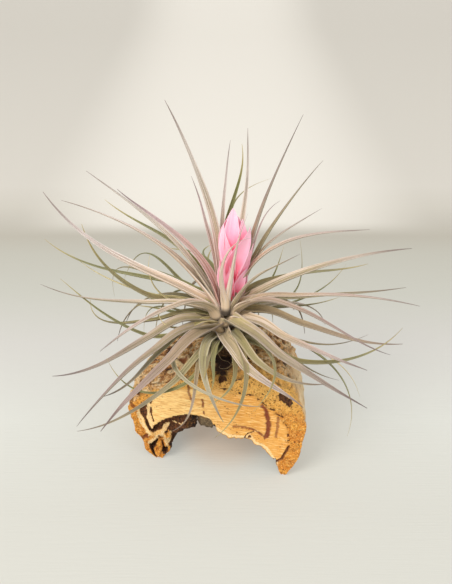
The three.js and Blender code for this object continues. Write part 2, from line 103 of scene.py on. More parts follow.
# holes in the sawn face, recessed and painted dark inside as shade
DARK_HOLES = [
    # outline, depth and raggedness in mm, share of pale rim
    (((-54.6, 31.5), (-48.6, 36.6), (-49.4, 30.7), (-50.5, 25.8), (-48.7, 21.4), (-46.8, 17.6), (-48.2, 16.3),
      (-50.6, 20.4), (-51.8, 25), (-53.7, 27.4)), 3, 0.25, 1),
    (((-45.1, 12.2), (-42.8, 12.3), (-43.5, 10.2), (-44.8, 6.9), (-46.2, 4.3), (-44.3, 0.5), (-45.8, 0.5),
      (-47.8, 3.8), (-48.8, 7.7), (-46.7, 9)), 5, 0.5, 0.3),
    (((-40.3, 6.9), (-38.7, 8.1), (-36.8, 7.8), (-37.3, 4.6), (-38.1, 2.3), (-40.3, 2.5), (-40.7, 4.8)),
     5, 0.5, 0),
    (((-35.8, 11.7), (-33.8, 12.7), (-33.2, 10), (-34.5, 6.6), (-35.8, 8.3)), 4, 0.5, 0),
    (((-38.6, 17.8), (-37.2, 18.7), (-36.1, 17.8), (-37.5, 16.9)), 3, 0.3, 0),
    (((32.2, 53), (34, 53.4), (36.8, 51.8), (39.2, 50), (40.2, 48.4), (39, 45), (37.4, 45.8), (35, 47.2),
      (33.6, 48), (32, 50)), 1.5, 1.2, 0),
    (((-6.5, 61.5), (-4.4, 57.5), (-4.4, 52.4), (-3.7, 51.2), (-2.5, 53.2), (-1.1, 56.3), (0.3, 59),
      (1.8, 63)), 6, 0.35, 0),
    (((13.3, 21.5), (14.5, 22.7), (15.6, 21.9), (15.1, 20.9)), 2, 0.2, 0.5),
    (((29.3, 9.3), (30.2, 9.8), (30.9, 7.4), (29.6, 5.9), (28.8, 7.5)), 2.5, 0.2, 0),
]
CRACKS = [
    # points, half width and depth in mm, share of dark, share of rust red
    (((-45.7, 38), (-46.9, 35.1)), 0.5, 1.5, 1, 0),
    (((-47.2, 32.4), (-47.6, 28.3)), 0.6, 1.5, 1, 0),
    (((-47.4, 28.3), (-45.7, 23.5)), 0.5, 1.5, 1, 0),
    (((-42.6, 15.1), (-41.4, 12.3), (-40.2, 9.9), (-39.9, 7.5)), 0.45, 3, 1, 0),
    (((-7.3, 26.4), (-6.8, 24.2), (-6.4, 21.8)), 0.8, 3, 1, 0),
    (((22.2, 43.1), (24.1, 40.9), (25.5, 36.1), (26.1, 31.7), (25.6, 26.6), (24.6, 23.6)), 1.2, 0.4, 0.1, 1),
    (((4.6, 27.5), (12.1, 28), (16.8, 26.8), (20.5, 25.3), (23.8, 23.7)), 0.5, 0.4, 0.25, 0.9),
    (((31.8, 37.3), (31.6, 32.5), (30.9, 27.8), (30.6, 24.7)), 0.75, 0.3, 0, 0.7),
    (((38.3, 19), (37.4, 16.7), (35.6, 13.3), (34.3, 10.5), (32, 8.7), (30.1, 7.6)), 0.75, 1.2, 0.5, 0.8),
    (((11.4, 20.3), (11.9, 21.8), (13.5, 23.7), (16.8, 25.2)), 0.45, 1, 0.7, 0.2),
    (((-23.2, 50), (-22.6, 48.5), (-22.9, 45.8), (-21.2, 41.1)), 0.6, 0.5, 0.35, 0.8),
    (((-14.8, 42.4), (-14.1, 40.4), (-14.4, 38.1)), 0.6, 0.4, 0.1, 0.9),
    (((-13.8, 34.8), (-13.5, 33.2)), 0.5, 0.4, 0.1, 0.9),
    (((-60.9, 33.8), (-59.7, 33.3), (-57.8, 31.9)), 1, 1, 0.3, 0.8),
    (((-53.5, 11.1), (-49.5, 13.7)), 0.9, 0.8, 0.2, 0.9),
    (((-34.8, 33.2), (-34.6, 33)), 0.4, 0.8, 1, 0),
]
PALE_RIDGES = [
    # points, half width and height in mm, share of pale
    (((-48.6, 9.4), (-46.4, 11.2), (-43.2, 14.8), (-40.4, 17), (-39, 19.2), (-36, 20.6)), 0.95, 1.4, 1),
    (((-34.5, 21.3), (-32, 21.6), (-30.1, 21.9), (-27.5, 22.9)), 0.5, 1.2, 0.9),
    (((-42.2, 13.4), (-41.6, 10), (-42, 6), (-42.9, 1.7)), 1.1, 1.5, 0.25),
    (((-38.6, 15.4), (-37.8, 12.8), (-37.2, 10)), 1.6, 1.6, 0.55),
    (((-36.2, 14.6), (-35.4, 12.4)), 0.8, 1.8, 0.9),
    (((-35.8, 5.2), (-36.6, 1.2)), 0.9, 1.2, 0.7),
    (((-48.6, 37.4), (-49.3, 31.4), (-48.4, 26), (-46.2, 21.2)), 0.9, 0.2, 0.8),
    (((-55.6, 28), (-53.6, 22), (-51.6, 18.2), (-48.6, 14)), 0.7, 0.3, 0.9),
]


def rise(low, high, value):
    """Smooth step from 0 to 1 between low and high, which may run downwards."""
    share = np.clip((value - low) / (high - low), 0, 1)
    return share * share * (3 - 2 * share)


def window(value, start, full, fading, end):
    """1 from full to fading, falling smoothly to 0 at start and at end."""
    return rise(start, full, value) * rise(end, fading, value)


def mix(low, high, share):
    return low + (high - low) * share


def centripetal(points, shares):
    """Places on the smooth curve through the points, at shares of their count."""
    points = np.array(points, float)
    ends = np.vstack([2 * points[0] - points[1], points, 2 * points[-1] - points[-2]])
    place = shares * (len(points) - 1)
    first = np.minimum(place.astype(int), len(points) - 2)
    local = (place - first)[:, None]
    p0, p1, p2, p3 = (ends[first + step] for step in range(4))
    gap = [np.sqrt(np.linalg.norm(b - a, axis=1))[:, None] for a, b in ((p0, p1), (p1, p2), (p2, p3))]
    leave = ((p1 - p0) / gap[0] - (p2 - p0) / (gap[0] + gap[1]) + (p2 - p1) / gap[1]) * gap[1]
    arrive = ((p2 - p1) / gap[1] - (p3 - p1) / (gap[1] + gap[2]) + (p3 - p2) / gap[2]) * gap[1]
    bend = -3 * p1 + 3 * p2 - 2 * leave - arrive
    return p1 + local * (leave + local * (bend + local * (2 * p1 - 2 * p2 + leave + arrive)))


def back_edge(sizes, shares):
    """Places on an edge of the even arch at the back, which is the top of an ellipse."""
    wide, tall, centre = sizes
    dip = math.asin(centre / tall)
    turn = mix(math.pi + dip, -dip, shares)
    return np.stack([BACK_CENTRE + wide * np.cos(turn), centre + tall * np.sin(turn)], axis=1)


def line_distance(x, z, points):
    """Distance in the sawn face from (x, z) to the nearest stretch of a line of points."""
    nearest = np.full(len(x), 1e9)
    for (ax, az), (bx, bz) in zip(points[:-1], points[1:]):
        run, climb = bx - ax, bz - az
        share = np.clip(((x - ax) * run + (z - az) * climb) / (run * run + climb * climb), 0, 1)
        nearest = np.minimum(nearest, np.hypot(x - ax - share * run, z - az - share * climb))
    return nearest


def outline_depth(x, z, points):
    """How far inside an outline (x, z) lies in the sawn face; outside it the value is negative."""
    inside = np.zeros(len(x), bool)
    for (ax, az), (bx, bz) in zip(points, points[1:] + points[:1]):
        if az != bz:
            inside ^= ((az > z) != (bz > z)) & (x < (bx - ax) * (z - az) / (bz - az) + ax)
    distance = line_distance(x, z, points + points[:1])
    return np.where(inside, distance, -distance)


def fractal(x, y, z, size, octaves):
    """Fractal noise from about -1 to 1 at places in mm, with features about `size` mm across."""
    return np.array([noise.fractal(Vector(p), 1.0, 2.1, octaves) for p in zip(x / size, y / size, z / size)])


def crag(x, y, z):
    """Relief of virgin cork from about -1 to 1: warped plates and knobs, parted by long cracks."""
    heights = []
    for p in zip(x, y, z):
        place = Vector(p)
        warped = place + 3.5 * noise.noise_vector(place / 11) + 1.2 * noise.noise_vector(place / 4)
        near = noise.voronoi(Vector((warped.x / 7.5, warped.y / 15, warped.z / 7.5)))[0]
        crack = min(1.0, (near[1] - near[0]) / 0.22)
        knob = noise.noise(warped / 5.5) + 0.5 * noise.noise(warped / 2.4)
        ledge = noise.noise(Vector((warped.x / 16, warped.y / 34, warped.z / 16)))
        heights.append(0.55 * (crack - 0.8) + 0.55 * knob + 0.6 * ledge)
    return np.array(heights)


def shell_lattice(across, wall, deep):
    """Shares of the points on a block's six sides, and the quads that join them, facing out."""
    i, j, k = np.meshgrid(range(across + 1), range(wall + 1), range(deep + 1), indexing="ij")
    skin = (i == 0) | (i == across) | (j == 0) | (j == wall) | (k == 0) | (k == deep)
    number = (np.cumsum(skin.ravel()) - 1).reshape(skin.shape)
    sides = [
        (number[:, 0, :], False), (number[:, wall, :], True),
        (number[:, :, 0], True), (number[:, :, deep], False),
        (number[0, :, :], False), (number[across, :, :], True),
    ]
    quads = []
    for side, turned in sides:
        corners = [side[:-1, :-1], side[1:, :-1], side[1:, 1:], side[:-1, 1:]]
        quad = np.stack([c.ravel() for c in corners], axis=1)
        quads.append(quad[:, ::-1] if turned else quad)
    return i[skin] / across, j[skin] / wall, k[skin] / deep, np.vstack(quads)


def add_mesh(name, places, faces, values=()):
    """A mesh object from places in metres, faces, and named values per point for its material."""
    mesh = bpy.data.meshes.new(name)
    mesh.from_pydata(np.asarray(places).tolist(), [], [list(map(int, face)) for face in faces])
    for key, value in dict(values).items():
        layer = mesh.attributes.new(key, "FLOAT", "POINT")
        layer.data.foreach_set("value", np.asarray(value, np.float32))
    mesh.polygons.foreach_set("use_smooth", [True] * len(mesh.polygons))
    mesh.validate()
    mesh.update()
    made = bpy.data.objects.new(name, mesh)
    bpy.context.scene.collection.objects.link(made)
    return made


def dress(made, finish, node):
    """Gives a piece its material, slot and body, and hides the solid that it stands for."""
    made.data.materials.append(finish)
    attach(made, "root")
    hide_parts(node)


def face_details(x, z):
    """Relief and colour of the sawn face at (x, z): recess in mm, and shares of dark, rust and pale. The dark
    is painted shade in the holes and the broken wall, and the cork's own in cracks and dots.
    """
    ragged, jagged = fractal(x, z, 0 * x, 2.4, 3), fractal(x, z, 0 * x + 9, 1.1, 2)
    # the broken wall is recessed and painted dark, as shade
    broken = rise(-0.3, 0.5, outline_depth(x, z, BROKEN_WALL) + 0.7 * ragged)
    recess, dark = broken * (6 + 3 * fractal(x, z, 0 * x + 5, 5, 2)), broken
    rust, pale = np.zeros(len(x)), np.zeros(len(x))
    dots = rise(-0.25, 0.05, fractal(x, z, 0 * x + 3, 1.9, 2))
    ring = rise(1, 0.4, line_distance(x, z, DOTTED_RING) + 0.6 * ragged) * dots
    recess, dark = np.maximum(recess, 0.8 * ring), np.maximum(dark, 0.66 * ring)
    for outline, depth, roughness, rim in DARK_HOLES:
        within = outline_depth(x, z, outline) + roughness * ragged
        recess = np.maximum(recess, depth * rise(-0.2, 0.7, within))
        # painted shade inside each hole
        dark = np.maximum(dark, rise(-0.4, 0.25, within))
        pale = np.maximum(pale, rim * rise(-1.7, -1.1, within) * rise(-0.3, -0.6, within))
    for points, half, depth, darkness, redness in CRACKS:
        near = line_distance(x, z, points) + (0.4 + 0.3 * redness) * half * ragged
        recess = np.maximum(recess, depth * rise(1.1 * half, 0.4 * half, near))
        dark = np.maximum(dark, darkness * rise(1.15 * half, 0.6 * half, near))
        rust = np.maximum(rust, redness * rise(1.5 * half, 0.8 * half, near))
    for points, half, height, paleness in PALE_RIDGES:
        ridge = rise(1.4 * half, 0.4 * half, line_distance(x, z, points) + 0.8 * ragged + 0.6 * jagged)
        recess -= height * ridge
        crest = rise(0.35, 0.75, ridge)
        dark *= 1 - crest
        pale = np.maximum(pale, paleness * crest)
    return recess, dark, rust, pale


def bark_places(share, wall, deep):
    """Places of the bark in mm, with what its material needs to know at each of them. Share runs over
    the arch from foot to foot, wall from the outside in, and deep from the sawn face to the back."""
    outer, inner = ([pair[side] for pair in FRONT_EDGES] for side in (0, 1))
    outer_at, inner_at = centripetal(outer, share), centripetal(inner, share)
    front = mix(outer_at, inner_at, wall[:, None])
    back = mix(back_edge(BACK_OUTER, share), back_edge(BACK_INNER, share), wall[:, None])
    outward = outer_at - inner_at
    outward /= np.linalg.norm(outward, axis=1)[:, None]
    fx, fz = front[:, 0], front[:, 1]
    recess, dark, rust, pale = face_details(fx, fz)
    cut = CUT_LEVEL + CUT_SLANT * fx + CUT_LEAN * fz
    y = mix(cut + recess * (1 - deep) ** 3, BARK_BACK, deep)
    flat = mix(front, back, deep[:, None])
    x, z = flat[:, 0], flat[:, 1]

    # slow swells of the whole wall, and knobs that hang into the arch behind the left foot
    broad = np.sin(0.19 * x + 0.11 * y) * np.sin(0.16 * y - 0.2 * z + 1.3)
    fine = np.sin(0.47 * x - 0.33 * z + 2) * np.sin(0.42 * y + 0.21 * x + 0.5)
    swell = (0.9 * broad + 0.6 * fine) * (1 - 1.6 * wall)
    swell += BARK_BULGE * np.sin(math.pi * deep) * np.abs(outward[:, 0]) * (1 - wall)
    hanging = rise(0.75, 1, wall) * window(deep, 0, 0.05, 0.3, 0.75) * window(share, *LEFT_KNOBS)
    swell -= hanging * (KNOBS_HANG + 4 * fractal(x, y, z, 7, 3))

    # the crust, which is calm on the right flank and ends on the face in a lip at the upper left
    height = crag(x, y, z)
    grain = fractal(x, y, z, 3.5, 5)
    lip = rise(-0.5, 0.5, outline_depth(fx, fz, BARK_LIP) + 1.2 * grain)
    outside = rise(0.1, 0, wall)
    skin = outside - rise(0.9, 1, wall)
    calm = rise(34, 46, x) * rise(44, 0, y)
    crust = mix(BARK_RELIEF, CALM_RELIEF, calm) * height + 0.7 * grain
    rough = crust * skin * mix(0.45, 1, rise(0, 0.05, deep))
    off_foot = window(share, 0, FOOT_SHARE, 1 - FOOT_SHARE, 1)
    x, z = (v + outward[:, n] * (swell + rough) * off_foot for n, v in enumerate((x, z)))
    ceiling = window(share, *CRUMBLED_CEILING) * rise(0.8, 1, wall) * window(deep, 0, 0.06, 0.25, 0.6)
    z -= ceiling * (CEILING_HANG + 4 * fractal(x, y, 0 * z, 5, 3))

    knot_x, knot_y, knot_radius = KNOT
    off_knot = np.hypot(x - knot_x, y - knot_y) + 0.8 * grain
    knot_rim = rise(1.5, 0.6, np.abs(off_knot - knot_radius)) * outside
    z += KNOT_RELIEF * knot_rim

    # the sawn face and the back end, crumbly but for the smooth band, with lumps in the broken left foot
    at_cut, at_back = rise(0.02, 0, deep), rise(0.97, 1, deep)
    within_wall = window(wall, 0, 0.04, 0.96, 1)
    smooth = rise(-1.2, 0.6, outline_depth(fx, fz, SMOOTH_BAND) + 0.6 * grain)
    crumbs = mix(0.6, 0.12, smooth) * grain + mix(0.75, 0.08, smooth) * fractal(x, y, z, 1.7, 2)
    left_foot = rise(20, 12, fz) * window(fx, -51, -47, -36, -33)
    lumps = left_foot * (0.4 + 1.3 * fractal(fx / 0.7, fz, fz, 3.4, 3))
    y -= at_cut * within_wall * (crumbs + lumps - lip * LIP_RELIEF * (1 - height))
    y += at_back * within_wall * BACK_RELIEF * grain

    # the hollow that the plant stands in, and the flat feet
    away = (x / HOLLOW_HALF_WIDE) ** 4 + ((y - HOLLOW_CENTRE) / HOLLOW_HALF_LONG) ** 4
    hollow = np.minimum(1, 2.2 * np.exp(-away)) * (1 - wall) ** 2 * window(share, *HOLLOW_SPAN)
    z = mix(z, HOLLOW_FLOOR + 0.8 * grain * rise(6, 9, np.hypot(x, y)), hollow)
    z = np.where((share == 0) | (share == 1), 0, np.maximum(z, 0.2))

    # where the material is golden near the sawn face, painted dark with shade in the hollow under the
    # plant, and pale along the inner edge
    gold_limit = mix(0.03, 0.3, window(share, *GOLDEN_TOP))
    # painted shade in the hollow under the plant, darkest in its middle and away from the front edge
    shade = rise(8.5, 5, np.abs(x + 2) + 2.5 * grain + rise(-10, -34, y) * 6) * rise(-40, -26, y)
    edge = rise(0.9, 0.96, wall) * window(share, *PALE_EDGE)
    values = {
        "sawn": at_cut * window(wall, 0, 0.02, 0.98, 1) * (1 - lip),
        "inside": rise(0.6, 0.98, wall) * (1 - at_cut),
        "rift": dark * at_cut,
        "rust": rust * at_cut,
        "pale": np.maximum(pale, 0.7 * edge) * at_cut,
        "smooth": smooth,
        "height": 0.5 + 0.42 * height + 0.16 * grain,
        "golden": rise(gold_limit, 0.3 * gold_limit, deep + 0.04 * height) * (1 - lip),
        "olive": rise(0.28, 0.34, share) * rise(0.6, 0.98, wall),
        "calm": calm,
        "hollow": hollow * shade,
        "knot_rim": knot_rim,
        "knot_core": rise(knot_radius, knot_radius - 1, off_knot) * outside,
    }
    return np.stack([x, y, z], axis=1), values


def paint(shown):
    """The linear RGBA that shaders use, from a colour as a screen shows it, in hex."""
    shares = [int(shown[n:n + 2], 16) / 255 for n in (0, 2, 4)]
    linear = [v / 12.92 if v <= 0.04045 else ((v + 0.055) / 1.055) ** 2.4 for v in shares]
    return (*linear, 1.0)


class Wire:
    """One socket of a material, so that shader maths reads as plain expressions."""

    def __init__(self, finish, socket):
        self.finish = finish
        self.socket = socket

    def maths(self, operation, first, second):
        return self.finish.node("ShaderNodeMath", {"operation": operation}, {0: first, 1: second})

    def __add__(self, other):
        return self.maths("ADD", self, other)

    def __sub__(self, other):
        return self.maths("SUBTRACT", self, other)

    def __rsub__(self, other):
        return self.maths("SUBTRACT", other, self)

    def __mul__(self, other):
        return self.maths("MULTIPLY", self, other)

    __radd__ = __add__
    __rmul__ = __mul__

    def step(self, low, high):
        """0 below low, 1 above high, smooth between; low may be above high."""
        sockets = {"Value": self, "From Min": low, "From Max": high}
        return self.finish.node("ShaderNodeMapRange", {"interpolation_type": "SMOOTHSTEP"}, sockets)


class Finish:
    """A material being made: its nodes, the values it reads from the mesh, and its noises."""

    def __init__(self, name, **constants):
        self.material = bpy.data.materials.new(name)
        self.material.use_nodes = True
        self.tree = self.material.node_tree
        self.shader = self.tree.nodes["Principled BSDF"]
        for key, value in constants.items():
            self.shader.inputs[key.replace("_", " ")].default_value = value

    def node(self, kind, settings, sockets, result=0):
        """A node with its settings, a ramp's stops among them, and the values or links of its sockets."""
        made = self.tree.nodes.new(kind)
        for name, value in settings.items():
            if name == "stops":
                for _ in value[2:]:
                    made.color_ramp.elements.new(1.0)
                for element, (position, colour) in zip(made.color_ramp.elements, value):
                    element.position = position
                    element.color = paint(colour)
            else:
                setattr(made, name, value)
        for key, value in sockets.items():
            if isinstance(value, Wire):
                self.tree.links.new(value.socket, made.inputs[key])
            else:
                made.inputs[key].default_value = paint(value) if isinstance(value, str) else value
        return Wire(self, made.outputs[result])

    def value(self, name):
        """A named value of the mesh."""
        return self.node("ShaderNodeAttribute", {"attribute_name": name}, {}, "Fac")

    def place(self, *stretch):
        """The place on the object in mm, divided by a stretch along each axis."""
        here = self.node("ShaderNodeTexCoord", {}, {}, "Object")
        scale = [1 / MM / s for s in stretch or (1, 1, 1)]
        return self.node("ShaderNodeVectorMath", {"operation": "MULTIPLY"}, {0: here, 1: scale})

    def axis(self, where, number):
        """One of the three numbers of a place."""
        return self.node("ShaderNodeSeparateXYZ", {}, {0: where}, number)

    def vector(self, x, y, z):
        return self.node("ShaderNodeCombineXYZ", {}, {"X": x, "Y": y, "Z": z})

    def noise(self, where, scale=1.0, detail=3.0, roughness=0.55, distortion=0.0):
        sockets = {"Vector": where, "Scale": scale, "Detail": detail, "Roughness": roughness}
        sockets["Distortion"] = distortion
        return self.node("ShaderNodeTexNoise", {}, sockets)

    def blend(self, share, first, second):
        settings = {"data_type": "RGBA", "clamp_factor": True}
        return self.node("ShaderNodeMix", settings, {0: share, 6: first, 7: second}, 2)

    def coats(self, colour, *coats):
        """A colour under coats of other colours, each of which covers a share of what is under it."""
        for share, over in coats:
            colour = self.blend(share, colour, over)
        return colour

    def ramp(self, share, *stops):
        return self.node("ShaderNodeValToRGB", {"stops": stops}, {"Fac": share})

    def done(self, colour, roughness, height, depth):
        """Feeds the shader: base colour, roughness and a bump of the given depth in metres."""
        bump = self.node("ShaderNodeBump", {}, {"Height": height, "Distance": depth})
        for wire, socket in ((colour, "Base Color"), (roughness, "Roughness"), (bump, "Normal")):
            self.tree.links.new(wire.socket, self.shader.inputs[socket])
        return self.material


def cork_finish():
    cork = Finish("cork")
    mm = cork.place()
    grit = cork.noise(mm, 0.8, 4, 0.7)
    fine_grit = cork.noise(mm, 2.2, 3, 0.6)
    speck = cork.noise(cork.place(1.1, 1.1, 0.8), 0.95, 2, 0.55, 0.7)
    drift = cork.noise(cork.place(9, 9, 7))
    lines = cork.noise(cork.place(6, 6, 0.45))
    streaks = cork.noise(cork.place(1.6, 14, 2.2), 1, 4, 0.65)
    knobs = cork.noise(cork.place(3.4, 6, 3.4), 1, 3, 0.6, 0.6)
    pits = (speck + (drift - 0.5) * 0.2).step(0.62, 0.69)
    height, smooth, sawn = cork.value("height"), cork.value("smooth"), cork.value("sawn")

    # the sawn face: orange and granular, with a smooth creamy band, rust, pale broken ridges, and painted
    # light that makes it lighter towards its top
    granular = cork.coats(
        cork.blend(drift.step(0.35, 0.65), "dc821a", "f8a836"),
        # painted light: lighter towards the top of the face, as if lit from above
        (cork.axis(mm, 2).step(30, 56) * 0.75, "ffca6c"),
        (grit.step(0.5, 0.66) * 0.7, "ac5a18"),
        (fine_grit.step(0.5, 0.62) * 0.65, "ffcc6e"),
        (speck.step(0.43, 0.33) * 0.65, "ffd680"),
        (speck.step(0.54, 0.62) * 0.45, "a05620"),
        (pits * 0.85, "602e0f"),
    )
    creamy = cork.coats(
        cork.blend(cork.axis(mm, 0).step(-26, 10), "fcd084", "e6a64e"),
        (lines.step(0.47, 0.64) * 0.75, "d28a3a"),
        (lines.step(0.48, 0.34) * 0.5, "ffe4a4"),
        (pits * drift.step(0.48, 0.56) * 0.8, "8c4c1c"),
    )
    pale = (cork.value("pale") + (grit - 0.5) * 0.9).step(0.38, 0.6)
    face = cork.coats(
        cork.blend(smooth, granular, creamy),
        (cork.value("rust") * (0.75 + grit * 0.4), "7a3218"),
        (pale, cork.blend(fine_grit.step(0.42, 0.6) * 0.6, "fedea2", "da9c50")),
    )
    # the bark: dark cracks under pale knobs, calmer on the right flank, golden next to the sawn face
    crust = cork.ramp(
        height + (drift - 0.5) * 0.3 + (grit - 0.5) * 0.4,
        (0.12, "3a2010"), (0.25, "845028"), (0.39, "d09456"), (0.57, "f2c280"), (0.8, "fcdeac"),
    )
    flank = cork.ramp(streaks, (0.3, "c69e6e"), (0.46, "f6d4a2"), (0.7, "ffeac0"))
    bark = cork.coats(
        crust,
        (drift.step(0.48, 0.6) * 0.5, "e89c48"),
        (speck.step(0.42, 0.34) * 0.4, "face8e"),
        (knobs.step(0.46, 0.38) * 0.7, "5c361c"),
        (knobs.step(0.52, 0.6) * 0.8, "ffe4b6"),
        (height.step(0.3, 0.16) * 0.85, "341c0e"),
        (speck.step(0.58, 0.64) * 0.6, "4c2a14"),
        (drift.step(0.56, 0.64) * fine_grit.step(0.4, 0.55) * 0.5, "96845c"),
        (cork.value("calm") * height.step(0.05, 0.3) * 0.95, flank),
        (cork.value("knot_rim"), "ffe2ac"),
        (cork.value("knot_core") * 0.85, "964e2a"),
        (cork.value("golden") * height.step(0.1, 0.45), granular),
    )
    # the dark inside, the painted shade in the hollow under the plant, and the cracks in the sawn face,
    # with painted shade in its holes and broken wall
    inner = cork.blend(
        cork.value("olive"),
        cork.ramp(grit, (0.38, "180e09"), (0.54, "54341c"), (0.68, "b47c42")),
        cork.ramp(grit, (0.35, "54442e"), (0.65, "9e8662")),
    )
    # the cork's own dark in cracks and dots, and painted shade in the holes and the broken wall
    rift = (cork.value("rift") + (grit - 0.5) * 0.7).step(0.36, 0.6)
    colour = cork.coats(
        cork.blend(cork.value("inside"), bark, inner),
        # painted shade in the hollow under the plant
        (cork.value("hollow"), cork.ramp(grit, (0.35, "180c07"), (0.75, "5c3622"))),
        (sawn, face),
        (rift, cork.ramp(grit, (0.36, "221209"), (0.6, "7c4c28"))),
    )
    crumbly = 1 - smooth * sawn * 0.75
    bumps = (grit * 0.8 + fine_grit * 0.4 - pits * 0.4) * crumbly + lines * 0.15
    return cork.done(colour, grit * 0.15 + 0.78, bumps, 0.0018)


share, wall, deep, bark_quads = shell_lattice(BARK_ACROSS, BARK_WALL, BARK_DEEP)
bark_mm, bark_values = bark_places(share, wall, deep)
dress(add_mesh("cork_arch", bark_mm * MM, bark_quads, bark_values), cork_finish(), "cork_bark")

# Dry base: the brown stump of old leaf sheaths, which stands in the hollow of the bark. Torn sheaths
# wrap it, and wiry roots run from it over the bark.
BASE_FOOT, BASE_TOP = 56.3, 66.7
BASE_PROFILE = ((5.3, BASE_FOOT), (6.4, 60), (6.2, 63), (5.3, BASE_TOP))
BASE_SIDES = 48
SHEATH_COUNT, SHEATH_TURN = 26, 137.5
SHEATH_REACH, SHEATH_RISE, SHEATH_WIDTH = (9, 14.5), (3, 8), (1.4, 3.2)  # smallest and largest, mm
BLADE_RINGS, SHEATH_STATIONS = 44, 5
BLADE_THICK = (1.0, 0.45)  # at the root and at the tip, mm
SHEATH_BEND = 3.5  # how far from the root a sheath's bend reaches, mm
SHEATH_LEAN = 0.025  # share by which a sheath closes in on the stem for each mm below its root
ROOTS = [
    # points of a wiry root (x, y, z) in mm, as it lies over the hollow and the bark
    ((-4, -4, 61), (-5, -9, 61.5), (-2.5, -14, 59.5), (1.5, -15, 58.5), (3, -19, 58), (0.5, -23, 58)),
    ((2, -5, 60), (6, -12, 60), (4, -20, 59.5), (-1, -24, 58.6), (-4.2, -22, 58.3), (-3.4, -18.6, 58.4)),
    ((5, -3, 61), (11, -8, 63), (17, -10, 64.5), (23, -7, 64), (27, -11, 62.5)),
    ((-5, 3, 61), (-11, 6, 63), (-17, 5, 62), (-22, 9, 58)),
    ((3, 5, 61), (6, 12, 62.5), (3, 20, 62), (8, 27, 60.5)),
]
ROOT_THICK, ROOT_SIDES, ROOT_STEPS = 0.42, 6, 60


def polar(radius, degrees, height):
    turn = math.radians(degrees)
    return Vector((radius * math.cos(turn), radius * math.sin(turn), height))


def tube_faces(start, rings, sides):
    """Quads that join rings of points one after another, each ring closed on itself."""
    faces = []
    for low in range(start, start + sides * (rings - 1), sides):
        for n in range(sides):
            m = (n + 1) % sides
            faces.append((low + n, low + m, low + sides + m, low + sides + n))
    return faces


def closed_tube(start, rings, sides):
    """A tube's faces with a flat cap on either end."""
    last = start + sides * (rings - 1)
    caps = [tuple(range(start + sides - 1, start - 1, -1)), tuple(range(last, last + sides))]
    return tube_faces(start, rings, sides) + caps


def lathe(name, profile, sides, ridged):
    """A turned body round the plant's axis, closed at both ends, with uneven ridges."""
    places = []
    for radius, height in profile:
        for n in range(sides):
            ridge = 1 + ridged * (math.sin(n * 2.4) + 0.7 * math.sin(n * 5.1 + height))
            places.append(polar(radius * ridge, 360 * n / sides, height) * MM)
    return add_mesh(name, places, closed_tube(0, len(profile), sides))


def bezier(controls, t):
    p, q, r, s = controls
    n = 1 - t
    return n ** 3 * p + 3 * n * n * t * q + 3 * n * t * t * r + t ** 3 * s


def curve_controls(root, guides):
    """Bezier controls of a curve from the root through guides at a third, two thirds and the end."""
    a, b, c = guides
    return root, (-5 * root + 18 * a - 9 * b + 2 * c) / 6, (2 * root - 9 * a + 18 * b - 5 * c) / 6, c


def blade(frames, stations):
    """Places and faces of a thin closed blade. A frame is (t, place, side, face, half, thick, curl): the
    blade's cross-section is an arc as long as its width, curled by `curl` radians to either side."""
    across = np.linspace(-1, 1, stations)
    places = []
    values = {"along": [], "across": [], "under": []}
    for t, place, side, face, half, thick, curl in frames:
        for sign, order in ((0.5, across), (-0.5, across[::-1])):
            for u in order:
                turn, radius = u * curl, half / curl
                outward = side * math.sin(turn) - face * math.cos(turn)
                swell = thick * (1 - 0.75 * u * u)
                places.append(place + outward * (radius - sign * swell) + face * radius)
                values["along"].append(t)
                values["across"].append(u)
                values["under"].append(0.0 if sign > 0 else 1.0)
    ring = 2 * stations
    faces = tube_faces(0, len(frames), ring)
    for start, turned in ((0, False), (len(places) - ring, True)):
        for n in range(stations - 1):
            cap = (start + n, start + ring - 1 - n, start + ring - 2 - n, start + n + 1)
            faces.append(cap[::-1] if turned else cap)
    return places, faces, values


